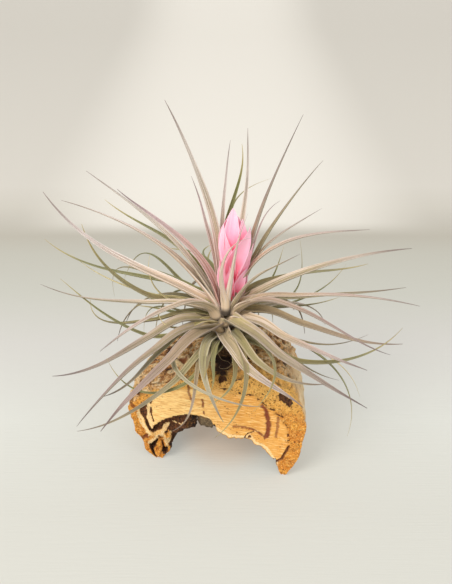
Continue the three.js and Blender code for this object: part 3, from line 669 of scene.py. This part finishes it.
def blade_frames(root, guides, width, chance, taper=0.85, arch=0.0, curl=(1.0, 0.8), sheath=(0.0, 0.0, 1.0)):
    """Frames of one blade along its curve, with a slight twist, waves and wrinkles of its own. Below its
    root it is an upright sheath of a given half width and length, which bends over into the blade and
    narrows to it over a given run. A level blade rises by `arch` beyond that."""
    controls = curve_controls(root, guides)
    away = Vector((guides[0].x - root.x, guides[0].y - root.y, 0)).normalized()
    arch *= max(0.0, 1 - 1.5 * max(0.0, (guides[0] - root).normalized().z))
    side = Vector((0, 0, 1)).cross(away)
    twist = math.radians(chance.uniform(-30, 30))
    phase, sway = chance.uniform(0, 6.3), chance.uniform(0.4, 1)
    whole = (guides[2] - root).length

    def route(run):
        t = min(1.0, run / whole)
        if t < 0:
            return root + Vector((root.x * SHEATH_LEAN * run, root.y * SHEATH_LEAN * run, run))
        lift = arch * math.sin(math.pi * t / 0.4) ** 2 if t < 0.4 else 0.0
        return bezier(controls, t) + Vector((0, 0, lift))

    def spine(run):
        rounding = SHEATH_BEND * float(rise(3 * SHEATH_BEND, SHEATH_BEND, run)) if sheath[1] else 0.0
        return sum((route(run + rounding * step) for step in (-1, -0.5, 0, 0.5, 1)), Vector()) / 5

    frames = []
    for n in range(BLADE_RINGS + 1):
        run = mix(-sheath[1], whole, (n / BLADE_RINGS) ** 1.3)
        t = min(1.0, max(0.0, run / whole))
        along = (spine(run + 0.6) - spine(run - 0.6)).normalized()
        side = (side - along * side.dot(along)).normalized()
        turned = Matrix.Rotation(twist * t, 3, along) @ side
        face = along.cross(turned)
        place = spine(run) + (turned * math.sin(10 * t + phase) + face * math.sin(7 * t)) * (sway * 0.6 * t)
        bend = mix(*curl, float(rise(0, 0.25, t))) + 0.12 * math.sin(9 * t + 2 * phase)
        half = width / 2 * ((1 - t) ** taper * (1 + 0.03 * math.sin(23 * t + phase)) + 0.03)
        half *= bend / math.sin(bend)
        half = mix(max(half, sheath[0]), half, float(rise(0, sheath[2], run)))
        thick = min(mix(*BLADE_THICK, t), 1.1 * half)
        share = t if run >= 0 else 0.1 * run / sheath[1]
        frames.append((share, place, turned, face, half, thick, bend))
    return frames


class Bunch:
    """Blades of one colour that go into one mesh, each with its own tint."""

    def __init__(self):
        self.places, self.faces = [], []
        self.values = {"along": [], "across": [], "under": [], "tint": []}

    def add(self, frames, stations, tint):
        places, faces, values = blade(frames, stations)
        start = len(self.places)
        self.places += [p * MM for p in places]
        self.faces += [[start + n for n in face] for face in faces]
        for key, value in values.items():
            self.values[key] += value
        self.values["tint"] += [tint] * len(places)

    def mesh(self, name):
        return add_mesh(name, self.places, self.faces, self.values)


def strands(name, routes, thick, sides, steps):
    """Thin round strands along smooth routes through their points, tapering towards their ends."""
    places, faces = [], []
    for route in routes:
        line = [Vector(p) for p in centripetal(route, np.linspace(0, 1, steps))]
        side = Vector((0, 0, 1)).cross(line[1] - line[0]).normalized()
        faces += closed_tube(len(places), steps, sides)
        for n, place in enumerate(line):
            along = (line[min(n + 1, steps - 1)] - line[max(n - 1, 0)]).normalized()
            side = (side - along * side.dot(along)).normalized()
            radius = thick * (1 - 0.75 * n / steps) / 2
            for m in range(sides):
                around = Matrix.Rotation(2 * math.pi * m / sides, 3, along) @ side
                places.append((place + around * radius) * MM)
    return add_mesh(name, places, faces)


def dry_finish(name, dark, light):
    dry = Finish(name)
    fibres = dry.noise(dry.place(1.2, 1.2, 4), 1, 4)
    return dry.done(dry.ramp(fibres, (0.3, dark), (0.7, light)), fibres * 0.2 + 0.7, fibres, 0.0006)


chance = random.Random(20)
sheath_brown = dry_finish("dry_sheath", "281a0f", "8c6840")
dress(lathe("dry_stump", BASE_PROFILE, BASE_SIDES, 0.05), sheath_brown, "dry_base")
sheaths = Bunch()
for n in range(SHEATH_COUNT):
    heading, reach = n * SHEATH_TURN, chance.uniform(*SHEATH_REACH)
    root = polar(3, heading, BASE_FOOT + chance.uniform(*SHEATH_RISE))
    guides = (
        polar(reach * 0.5, heading + 6, root.z + 1.2),
        polar(reach * 0.8, heading + 14, root.z + 1),
        polar(reach, heading + 28, root.z - 0.5),
    )
    frames = blade_frames(root, guides, chance.uniform(*SHEATH_WIDTH), chance)
    sheaths.add(frames, SHEATH_STATIONS, chance.random())
dress(sheaths.mesh("dry_sheaths"), sheath_brown, "dry_base")
root_tan = dry_finish("wiry_root", "967c54", "d6c296")
wiry_roots = strands("wiry_roots", ROOTS, ROOT_THICK, ROOT_SIDES, ROOT_STEPS)
dress(wiry_roots, root_tan, "dry_base")

# Leaves: narrow channelled blades with a silvery bloom of scales, which clasp the short stem with
# their rolled bases and taper to dry tips. Young ones are silver and mauve and stand up, older ones
# are olive and droop over the bark, and dead ones are straw-coloured. Some take a darker copy of the
# silver tone as painted shade, and the gaps round the leaves' feet are painted dark as shade.
SIGHT_TILT = math.radians(25)  # how far the photograph looks down
SIGHT_DISTANCE, SIGHT_HEIGHT = 600, 100  # from the camera to the sight's centre, and its height, mm
STEM_PROFILE = ((5.5, 67), (5, 73), (4.5, 88), (3, 94.5))
STEM_SIDES = 48
ROOT_RADII, ROOT_HEIGHTS = (7.2, 5.2), (71, 90)  # the youngest leaves stand closest to the middle
LEAF_STATIONS, LEAF_ARCH = 11, 3
LEAF_SHEATH = (4.2, 9, 16)  # half width, length and narrowing run of the clasping foot
LEAF_TAPER = 1.1
LEAF_CURL = (1.4, 0.95)  # radians to either side, at the root and further out
FRONT_LEAVES = [
    # tone, root (x, y, z) and width in mm, taper, the sheath's half width, length and narrowing run, then
    # the guides as below
    ("blush", (-1.1, -9.5, 99), 4.2, 1.6, (4, 12, 4), (-2.9, 12, -15), (3, 27.5, -20), (19.5, 33, -24)),
    ("blush", (1.4, -8, 98), 4, 1.6, (2.2, 10, 4), (4.4, 15, -15), (8, 32.5, -19), (13.5, 49, -20)),
    ("silver", (8.5, -5.5, 93), 8, 1, (4, 8, 16), (40, -3, -12), (79.5, -2.5, -20), (121, -9, -26)),
    ("dusk", (7.5, -6, 89), 7, 1.1, (3.8, 8, 16), (36, -8, -30), (69.5, -23, -45), (102.5, -39.5, -52)),
    ("silver", (-9.4, -7.5, 90.5), 8.5, 1.1, (3.1, 9, 12), (-30.5, -9, -34), (-56, -20.5, -56),
     (-78.5, -37, -66)),
    ("silver", (7, -7, 86), 9.5, 1.05, (4, 7, 16), (33, -27.5, -26), (60, -38, -38), (88, -49.5, -44)),
    ("dusk", (1.6, -9.8, 86.5), 9.5, 1.1, (4.6, 8, 16), (30.5, -38, -42), (59, -55.5, -56), (88, -73, -62)),
    ("dusk", (-11, -5, 81.5), 10.5, 1.05, (4, 8, 16), (-42, -26, -22), (-74, -43, -32), (-108.5, -53, -36)),
    ("dusk", (-8.6, -8.4, 80), 10, 1.1, (4, 7, 16), (-40.5, -34.5, -34), (-69.5, -57, -50),
     (-93, -84.5, -56)),
    ("tan", (3.4, -8.5, 78.5), 7, 1.1, (3, 6, 16), (16, -40.5, -42), (38, -54.5, -56), (62.5, -57.5, -60)),
    ("silver", (-2.5, -8.5, 77), 9, 1.05, (3.4, 6, 16), (10.5, -45.5, -46), (28, -58, -60), (48, -72.5, -66)),
]
LEAVES = [
    # tone, root height and width in mm, then where the leaf is seen at one third, two thirds and the
    # tip: mm to the right of the stem, mm up from the sight's centre, mm behind the stem
    ("frost", 89, 8, (-7, 40, 16), (-20.5, 82, 21), (-38.5, 120, 24)),
    ("mauve", 89, 4.5, (-8, 26, 14), (-14.5, 50.5, 24), (-21.5, 72.5, 34)),
    ("frost", 90, 5, (-2.5, 32.5, 20), (-1, 65, 26), (3, 95, 30)),
    ("green", 90, 6, (-2, 30.5, 23), (6, 62, 32), (10, 92.5, 40)),
    ("frost", 90, 6.5, (9, 35, 17), (13, 69.5, 26), (14, 102.5, 32)),
    ("dusk", 89, 7.5, (17, 34, 8), (29.5, 70, 12), (48.5, 111, 14)),
    ("tan", 89, 7.5, (20.5, 25.5, 10), (38, 54.5, 18), (61, 82, 26)),
    ("green", 90, 3, (2, 30.5, 22), (5.5, 56, 38), (28, 71, 52)),
    ("mauve", 89, 3.5, (14.5, 19, 16), (21, 41, 26), (34, 57, 34)),
    ("silver", 88, 5, (18, 19.5, 6), (35.5, 37.5, 12), (60, 52, 18)),
    ("silver", 88, 7, (23, 22.5, -3), (55, 36, -2), (89.5, 39, 4)),
    ("silver", 88, 5, (15.5, 6, -12), (30, 16, -20), (46.5, 23.5, -26)),
    ("silver", 88, 10, (42, 9, 0), (77.5, 21, 0), (116, 27, 4)),
    ("green", 88, 7.5, (30.5, 7.5, 14), (60, 13, 22), (89, 17.5, 30)),
    ("tan", 86, 7, (39, -4.5, 8), (74.5, -1, 12), (112.5, 2.5, 16)),
    ("tan", 86, 9.5, (41, -18.5, -10), (75.5, -28.5, -14), (110.5, -33, -18)),
    ("green", 84, 7.5, (28, -10.5, 18), (50, -8, 28), (71, -3.5, 36)),
    ("green", 82, 5, (30.5, -10, 30), (56, 0, 44), (75.5, 17.5, 52)),
    ("green", 82, 4, (29, -7.5, 36), (44.5, 3, 52), (46.5, 32.5, 58)),
    ("green", 84, 3.5, (20.5, -3, 38), (29.5, 10.5, 54), (36.5, 28.5, 60)),
    ("tan", 80, 5.5, (34, -27, -4), (60, -32.5, -8), (89, -27, -4)),
    ("green", 74, 7, (39.5, -42.5, -26), (77.5, -42, -34), (110.5, -22.5, -34)),
    ("green", 78, 4.5, (43, -31, -14), (72.5, -54, -30), (75.5, -90, -38)),
    ("straw", 82, 4, (39, -29.5, 14), (67.5, -42.5, 16), (83.5, -66, 14)),
    ("tan", 72, 5, (29.5, -34.5, -12), (50, -46.5, -18), (70.5, -55.5, -24)),
    ("green", 72, 4.5, (22.5, -34, -32), (30.5, -50, -58), (17, -75, -66)),
    ("green", 71, 6, (10.5, -41, -42), (11, -65, -64), (-7.5, -91, -70)),
    ("green", 71, 4.5, (5.5, -44, -38), (3, -59.5, -58), (-11, -70.5, -62)),
    ("tan", 71, 4.5, (-17, -44, -42), (-20.5, -69, -68), (-36, -87.5, -80)),
    ("sage", 72, 7.5, (-14, -40.5, -40), (-11, -62, -64), (-1.5, -81, -68)),
    ("green", 71, 5, (-7.5, -38, -34), (-8, -50, -56), (-9.5, -62.5, -60)),
    ("green", 71, 6, (-10, -37, -32), (-12, -45, -50), (-14, -55.5, -58)),
    ("sage", 73, 4.5, (-33, -42.5, -38), (-12, -63.5, -70), (23, -71, -80)),
    ("green", 71, 3.5, (-22, -55.5, -52), (-52.5, -62, -50), (-75, -41, -44)),
    ("tan", 74, 5.5, (-28, -52.5, -50), (-58.5, -74.5, -62), (-93, -87, -60)),
    ("dusk", 80, 10, (-32.5, -40.5, -44), (-57, -63, -66), (-78.5, -87, -80)),
    ("tan", 78, 7.5, (-34.5, -32, -26), (-54.5, -51, -42), (-78, -66, -50)),
    ("silver", 86, 9, (-45, -7.5, -8), (-80.5, -4.5, -8), (-116, 4.5, -2)),
    ("green", 82, 7.5, (-38, -17, -2), (-70.5, -19, 0), (-85, -4.5, 2)),
    ("green", 76, 5.5, (-43, -29, -8), (-75, -14, -8), (-104, 8, 0)),
    ("green", 84, 4, (-25.5, -13, 0), (-44, -9, 2), (-51, -26, -4)),
    ("straw", 80, 3.5, (-19.5, -21, -14), (-34.5, -22, -18), (-42.5, -10, -16)),
    ("green", 84, 7.5, (-19, -15, 6), (-35, -12, 12), (-56, -8.5, 18)),
    ("green", 86, 7.5, (-42.5, -5, 14), (-72, 13, 24), (-90.5, 42.5, 30)),
    ("green", 88, 7, (-43, 7, 20), (-80.5, 16, 32), (-113.5, 33, 40)),
    ("straw", 86, 4, (-39.5, -3.5, 18), (-70, 7, 30), (-97.5, 24, 40)),
    ("frost", 88, 10.5, (-47.5, 11, 2), (-84.5, 32.5, 4), (-114.5, 62.5, 8)),
    ("frost", 88, 10, (-34, 23, 10), (-67, 44.5, 16), (-103, 57, 24)),
    ("green", 88, 7.5, (-24.5, 23, 18), (-49.5, 41, 30), (-76, 57.5, 40)),
    ("frost", 89, 8, (-29, 27, 6), (-56.5, 53, 10), (-87.5, 75.5, 16)),
    ("mauve", 89, 8.5, (-19.5, 24, 10), (-43, 45, 20), (-68, 64.5, 28)),
    ("green", 86, 5, (-28, 6, 34), (-47.5, 24, 54), (-64, 7, 60)),
    ("green", 86, 5, (-10, 17.5, 38), (-22.5, 25.5, 58), (-39.5, 28, 68)),
    ("green", 88, 3.5, (-10, 15, 40), (-14, 25, 60), (-8, 30.5, 70)),
    ("green", 86, 5.5, (-7.5, 10, 34), (-11, 19, 56), (-8, 29, 66)),
    ("straw", 86, 3.5, (-30, -7.5, 10), (-45.5, 5, 16), (-47, 26, 20)),
    ("green", 86, 3.5, (-34, 4, 26), (-62.5, 16, 38), (-69.5, -3, 40)),
    ("green", 88, 7, (-18, 1, 22), (-34, 10, 34), (-49.5, 14.5, 44)),
]
FAR_COUNT = 12
# smallest and largest for the leaves on the far side: heading in degrees, all else in mm
FAR_HEADING, FAR_ROOT, FAR_REACH = (22, 158), (73, 88), (70, 86)
FAR_TIP, FAR_WIDTH = (40, 62), (6.5, 9.5)
FAR_TONES = ("green", "tan", "silver", "tan")
LEAF_FINISHES = {
    # tone: root, middle, upper and tip colour, underside, bloom
    "silver": ("e4caa2", "c4ac8a", "ae988e", "78645c", "9a8a60", "e4d4c6"),
    "frost": ("e6c8a8", "d8c0a6", "cabcb4", "8c7870", "bca684", "faf0e8"),
    "mauve": ("ce967e", "c09688", "aa9290", "806c6a", "a47e6a", "f0d8d0"),
    # painted shade: a darker copy of the silver tone for leaves that lie in their own shade
    "dusk": ("d0be84", "a89276", "88746c", "64524e", "7a7042", "b8a69a"),
    "blush": ("e6ceac", "e0c6b2", "dabeb6", "c4aaa2", "dac0a8", "f6eae4"),
    "green": ("b8aa6e", "807838", "6c6e36", "bea868", "545420", "aaa46c"),
    "sage": ("beae7c", "aa9e72", "a0947a", "90806c", "887e4e", "c8bea0"),
    "tan": ("cabc76", "9e8e5e", "8e7c68", "705c4c", "726c36", "c4b28e"),
    "straw": ("bcaa68", "ceba70", "e2ce8c", "e8d6a0", "c8b26c", "f0e2b4"),
}
# SHADE is painted shade in the gaps between leaves and round the sheaths, and also the dark of the leaves'
# streaks
SHADE, CHANNEL = "46341e", "706234"  # the colours of gaps between leaves and of their channels


def seen(right, above, back):
    """The place of a point that is seen right of and above the sight's centre, and lies so far back."""
    scale = 1 + back / (SIGHT_DISTANCE * math.cos(SIGHT_TILT))
    scale /= 1 + above * math.tan(SIGHT_TILT) / SIGHT_DISTANCE
    height = (above * scale - back * math.sin(SIGHT_TILT)) / math.cos(SIGHT_TILT)
    return Vector((right * scale, back, SIGHT_HEIGHT + height))


def golden(pair, turns):
    """A value between the pair's two, spread evenly over many turns."""
    return mix(*pair, turns - math.floor(turns))


def stem_root(heading, height):
    """Where a leaf leaves the stem, at a heading in degrees and a height."""
    return polar(float(np.interp(height, ROOT_HEIGHTS, ROOT_RADII)), heading, height)


def all_leaves():
    """Tone, root, guides, width, taper and sheath of each leaf: front, traced and far ones."""
    for tone, root, width, taper, sheath, *guide_points in FRONT_LEAVES:
        yield tone, Vector(root), [seen(*point) for point in guide_points], width, taper, sheath
    for tone, height, width, *guide_points in LEAVES:
        guides = [seen(*point) for point in guide_points]
        heading = math.degrees(math.atan2(guides[0].y, guides[0].x))
        yield tone, stem_root(heading, height), guides, width, LEAF_TAPER, LEAF_SHEATH
    for n in range(FAR_COUNT):
        heading, height = golden(FAR_HEADING, 0.31 + n * 0.618), golden(FAR_ROOT, n * 0.377)
        reach, tip = golden(FAR_REACH, n * 0.755), golden(FAR_TIP, n * 0.29)
        guides = [
            polar(reach * 0.36, heading, height + 7),
            polar(reach * 0.74, heading + 4, height + 1),
            polar(reach, heading + 6, tip),
        ]
        tone, width = FAR_TONES[n % len(FAR_TONES)], golden(FAR_WIDTH, n * 0.532)
        yield tone, stem_root(heading, height), guides, width, LEAF_TAPER, LEAF_SHEATH


def leaf_finish(name, root, middle, upper, tip, under, bloom):
    """A leaf's skin, from its root to its tip, with its underside and the bloom that lies on it, and painted
    shade in the gaps round its foot.
    """
    leaf = Finish(name, Sheen_Weight=0.25, Sheen_Roughness=0.5)
    along, across, tint = leaf.value("along"), leaf.value("across"), leaf.value("tint")
    below, edgeward = leaf.value("under"), across * across
    streak = leaf.noise(leaf.vector(across * 3, along * 2.5, tint * 31), 1, 4, 0.6)
    ribs = leaf.noise(leaf.vector(across * 5, along * 1.6, tint * 17), 1, 3)
    dust = leaf.noise(leaf.place(), 2.2, 3)
    shifted = along + (leaf.noise(leaf.place(7, 7, 7)) - 0.5) * 0.3
    height = leaf.axis(leaf.place(), 2)
    # painted shade on the underside just past the root, low in the rosette where the leaves overlap
    crevice_shade = below * along.step(0.0, 0.03) * along.step(0.16, 0.06) * height.step(96, 88)
    channel = edgeward.step(0.5, 0.0) * along.step(0.8, 0.3) * (1 - below)
    margin = edgeward.step(0.72, 0.96) * along.step(-0.01, 0.02) * (1 - below * 0.5)
    colour = leaf.coats(
        leaf.blend(shifted.step(0.0, 0.22), root, middle),
        (shifted.step(0.25, 0.7), upper),
        (below * along.step(-0.05, 0.12) * 0.7, under),
        (crevice_shade * 0.6, SHADE),
        (channel * 0.6, leaf.blend(0.35, under, CHANNEL)),
        (tint.step(0.6, 1.0) * 0.3, "b08478"),
        (tint.step(0.4, 0.0) * 0.3, "848054"),
        (streak.step(0.5, 0.6) * 0.42, SHADE),
        (ribs.step(0.52, 0.62) * 0.525, bloom),
        (dust.step(0.5, 0.72) * 0.3, bloom),
        (margin * 0.7, bloom),
        ((along + (streak - 0.5) * 0.2).step(0.7, 0.97) * 0.85, tip),
        (along.step(0.02, -0.03) * 0.65, "ecd2b2"),
        # painted shade along the sheaths' edges, where they meet their neighbours
        (edgeward.step(0.5, 0.95) * along.step(0.01, -0.02) * 0.75, SHADE),
        # painted shade at the sheaths' feet, deep between the leaves
        (along.step(-0.045, -0.08) * 0.9, "261b0e"),
    )
    return leaf.done(colour, dust * 0.2 + 0.52, ribs * 0.7 + streak * 0.5, 0.0006)


bunches = {tone: Bunch() for tone in LEAF_FINISHES}
for tone, root, guides, width, taper, sheath in all_leaves():
    frames = blade_frames(root, guides, width, chance, taper, LEAF_ARCH, LEAF_CURL, sheath)
    bunches[tone].add(frames, LEAF_STATIONS, chance.random())
for tone, bunch in bunches.items():
    finish = leaf_finish("leaf_" + tone, *LEAF_FINISHES[tone])
    dress(bunch.mesh(tone + "_leaves"), finish, "leaf_rosette")
# the stem is painted near black, as the shade deep in the rosette's core
stem_shade_brown = dry_finish("leaf_stem", "1c140a", "60502c")
dress(lathe("leaf_stem", STEM_PROFILE, STEM_SIDES, 0.03), stem_shade_brown, "leaf_rosette")

# Bract head: the flower spike's overlapping pink bracts, thin and waxy, which hug one another round
# the spike and part at their tips. It stands in the funnel of the upright leaves. The bracts glow
# faintly in their own colour, a painted light that lifts their shaded sides.
HEAD_FOOT = Vector((4.2, 0, 95.5))
HEAD_TIP = Vector((4.3, 2, 152))
HEAD_RADIUS, HEAD_FOOT_RADIUS = 8.3, 3.2  # mm
BRACT_RINGS, BRACT_STATIONS = 30, 15
BRACT_THICK = 0.8
BRACTS = [
    # heading at the foot and at the tip in degrees, start and end along the head, width in mm and how
    # far the tip stands out; the later ones are the lower and outer ones
    (60, 75, 0.5, 0.98, 10, 0),
    (160, 165, 0.5, 0.96, 10, 0),
    (20, 25, 0.45, 0.9, 10, 1),
    (-100, -90, 0.45, 1.06, 10.5, 0),
    (-60, -32, 0.48, 0.95, 8.5, 3.2),
    (120, 128, 0.3, 0.85, 11, 1),
    (75, 80, 0.28, 0.8, 11, 1.4),
    (-10, 2, 0.3, 0.68, 9, 2.6),
    (-175, -165, 0.3, 0.74, 9, -0.6),
    (-100, -150, 0.2, 0.89, 9.5, 1.4),
    (-100, -14, 0.2, 0.86, 12.5, 4.6),
    (160, 172, 0.1, 0.6, 9, -1.2),
    (30, 48, 0.1, 0.66, 11, 2.4),
    (100, 112, 0.05, 0.6, 11, 1.6),
    (-60, -8, 0.1, 0.66, 8, 4.2),
    (-104, -130, 0, 0.53, 8, 0),
    (-72, -30, 0.04, 0.39, 8.5, 2.4),
    (-170, -164, 0, 0.42, 8, -0.6),
    (60, 76, 0, 0.4, 10, 1.2),
    (140, 148, 0, 0.4, 10, 1.2),
    (5, 15, 0, 0.38, 8, 1.5),
]
head_axis = HEAD_TIP - HEAD_FOOT
head_turn = Vector((0, 0, 1)).rotation_difference(head_axis.normalized()).to_matrix()


def head_radius(share):
    """Half width of the head: slim at the foot, full above the middle, closed at the top."""
    swell = mix(HEAD_FOOT_RADIUS, HEAD_RADIUS, float(rise(0, 0.66, share)))
    return swell * (1 - 0.7 * float(rise(0.7, 1.06, share)))


def bract_frames(foot_heading, tip_heading, start, end, width, flare, layer):
    """Frames of a bract, which hugs the head and stands out at its tip. Each layer lies on the last."""
    def point(t):
        share = mix(start, end, t)
        hug = head_radius(share) * 0.76 + layer * 0.16 + flare * t * t
        heading = mix(foot_heading, tip_heading, t * t)
        return head_turn @ polar(hug * min(1, 0.6 + 1.4 * t), heading, share * head_axis.length) + HEAD_FOOT

    frames = []
    for n in range(BRACT_RINGS + 1):
        t = n / BRACT_RINGS
        along = (point(min(1, t + 0.02)) - point(max(0, t - 0.02))).normalized()
        outward = head_turn @ polar(1, mix(foot_heading, tip_heading, t * t), 0)
        side = outward.cross(along).normalized()
        face = along.cross(side)
        half = width / 2 * max(0.03, math.sin(math.pi * min(1, 0.1 + 0.9 * t) ** 1.15)) ** 0.7
        curl = half / max(4.5, head_radius(mix(start, end, t)))
        frames.append((t, point(t), side, face, half, BRACT_THICK * (1 - 0.5 * t), max(0.15, curl)))
    return frames


def bract_finish():
    # a faint glow in the bract's own colour is painted light that lifts its shaded side
    bract = Finish("bract", Subsurface_Weight=0.2, Subsurface_Scale=0.003, Emission_Strength=0.05)
    bract.shader.inputs["Subsurface Radius"].default_value = (1.0, 0.35, 0.4)
    along, across, tint = bract.value("along"), bract.value("across"), bract.value("tint")
    veins = bract.noise(bract.vector(across * 6, along * 1.2, tint * 23))
    blush = bract.noise(bract.place(5, 5, 8))
    colour = bract.coats(
        bract.blend((along + (blush - 0.5) * 0.4).step(0.05, 0.7), "f05a74", "fda8be"),
        (along.step(0.5, 1.0) * 0.75, "ffceda"),
        ((across * across).step(0.55, 0.95) * 0.6, "fecedc"),
        (veins.step(0.5, 0.66) * 0.4, "f08aac"),
    )
    # painted light: the bract glows in its own colour
    bract.tree.links.new(colour.socket, bract.shader.inputs["Emission Color"])
    return bract.done(colour, veins * 0.15 + 0.4, veins, 0.0003)


head = Bunch()
for layer, bract in enumerate(BRACTS):
    head.add(bract_frames(*bract, layer), BRACT_STATIONS, chance.random())
dress(head.mesh("pink_bracts"), bract_finish(), "bract_head")

# Studio: a pale floor that curves up into a pale wall far behind, both glowing in their own colour as
# painted light that lifts their shadows, with a painted pool of light on the wall and a painted warm
# shade on the floor under the arch, soft light from the upper left, and the camera in front, looking
# down by the photograph's angle.
FLOOR_WIDE, FLOOR_FRONT, WALL_AT, WALL_TALL, COVE = 12.0, -8.0, 2.4, 5.0, 0.9  # metres
COVE_STEPS = 12
FOCAL = 59.18  # mm, for a 36 mm sensor along the picture's long side
sweep = [(FLOOR_FRONT, 0.0), (0.0, 0.0), (WALL_AT - COVE, 0.0)]
for n in range(1, COVE_STEPS + 1):
    turn = math.pi / 2 * n / COVE_STEPS
    sweep.append((WALL_AT - COVE + COVE * math.sin(turn), COVE - COVE * math.cos(turn)))
sweep.append((WALL_AT, WALL_TALL))
cove_places = [(x, y, z) for y, z in sweep for x in (-FLOOR_WIDE / 2, FLOOR_WIDE / 2)]
cove_faces = [(2 * n, 2 * n + 1, 2 * n + 3, 2 * n + 2) for n in range(len(sweep) - 1)]
cove = add_mesh("studio_floor", cove_places, cove_faces)
# the plaster glows with its own colour: painted light that lifts the shadows on floor and wall
plaster = Finish("studio_plaster", Emission_Strength=1.0)
behind = plaster.axis(plaster.place(), 1)
# the ramp's share is 0.2 under the plant and grows by 0.1 for each 100 mm behind it
plaster_colour = plaster.ramp(
    behind * 0.001 + 0.2,
    (0.11, "989790"), (0.21, "9d9d97"), (0.32, "979590"), (0.41, "8f8e86"), (0.5, "8a887f"),
    (0.545, "868278"), (0.59, "8e8a81"), (0.63, "959188"), (0.7, "9b978f"),
)
sideways = plaster.axis(plaster.place(500, 500, 500), 0)
# painted pool of light on the wall behind the plant
painted_light_pool = (sideways * sideways).step(0.2, 0.0) * behind.step(345, 390) * 0.82
# painted warm shade on the floor under the arch
apart = plaster.node("ShaderNodeVectorMath", {"operation": "LENGTH"}, {0: plaster.place(32, 46, 40)}, 1)
plaster_colour = plaster.coats(plaster_colour, (painted_light_pool, "b0aca4"), (apart.step(1.25, 0.5) * 0.6, "9e8a76"))
plaster.tree.links.new(plaster_colour.socket, plaster.shader.inputs["Emission Color"])
brushed = plaster.noise(plaster.place(30, 2, 2))
cove.data.materials.append(plaster.done(plaster_colour, brushed * 0.1 + 0.8, brushed, 0.0002))


def soft_light(name, place, aim, size, power, colour):
    """A round area light at a place in metres, turned to its aim, with its power in watts."""
    lamp = bpy.data.lights.new(name, "AREA")
    lamp.shape = "DISK"
    lamp.size = size
    lamp.energy = power
    lamp.color = colour
    made = bpy.data.objects.new(name, lamp)
    made.location = place
    made.rotation_euler = (Vector(aim) - Vector(place)).to_track_quat("-Z", "Y").to_euler()
    bpy.context.scene.collection.objects.link(made)


soft_light("key_light", (-0.75, -1.0, 1.35), (0, 0, 0.08), 1.0, 22, (1.0, 0.96, 0.9))
soft_light("fill_light", (1.2, -0.8, 1.1), (0, 0, 0.1), 1.2, 3, (0.95, 0.97, 1.0))
world = bpy.data.worlds.new("studio_air")
world.use_nodes = True
air = world.node_tree.nodes["Background"].inputs
air["Color"].default_value = (0.95, 0.97, 1.0, 1)
air["Strength"].default_value = 0.98
bpy.context.scene.world = world
bpy.context.scene.view_settings.view_transform = "Standard"

sight = Vector((0, -math.cos(SIGHT_TILT), math.sin(SIGHT_TILT))) * SIGHT_DISTANCE * MM
camera = bpy.data.objects.new("camera", bpy.data.cameras.new("camera"))
camera.data.lens = FOCAL
camera.location = Vector((0, 0, SIGHT_HEIGHT * MM)) + sight
camera.rotation_euler = (-sight).to_track_quat("-Z", "Y").to_euler()
bpy.context.scene.collection.objects.link(camera)
bpy.context.scene.camera = camera
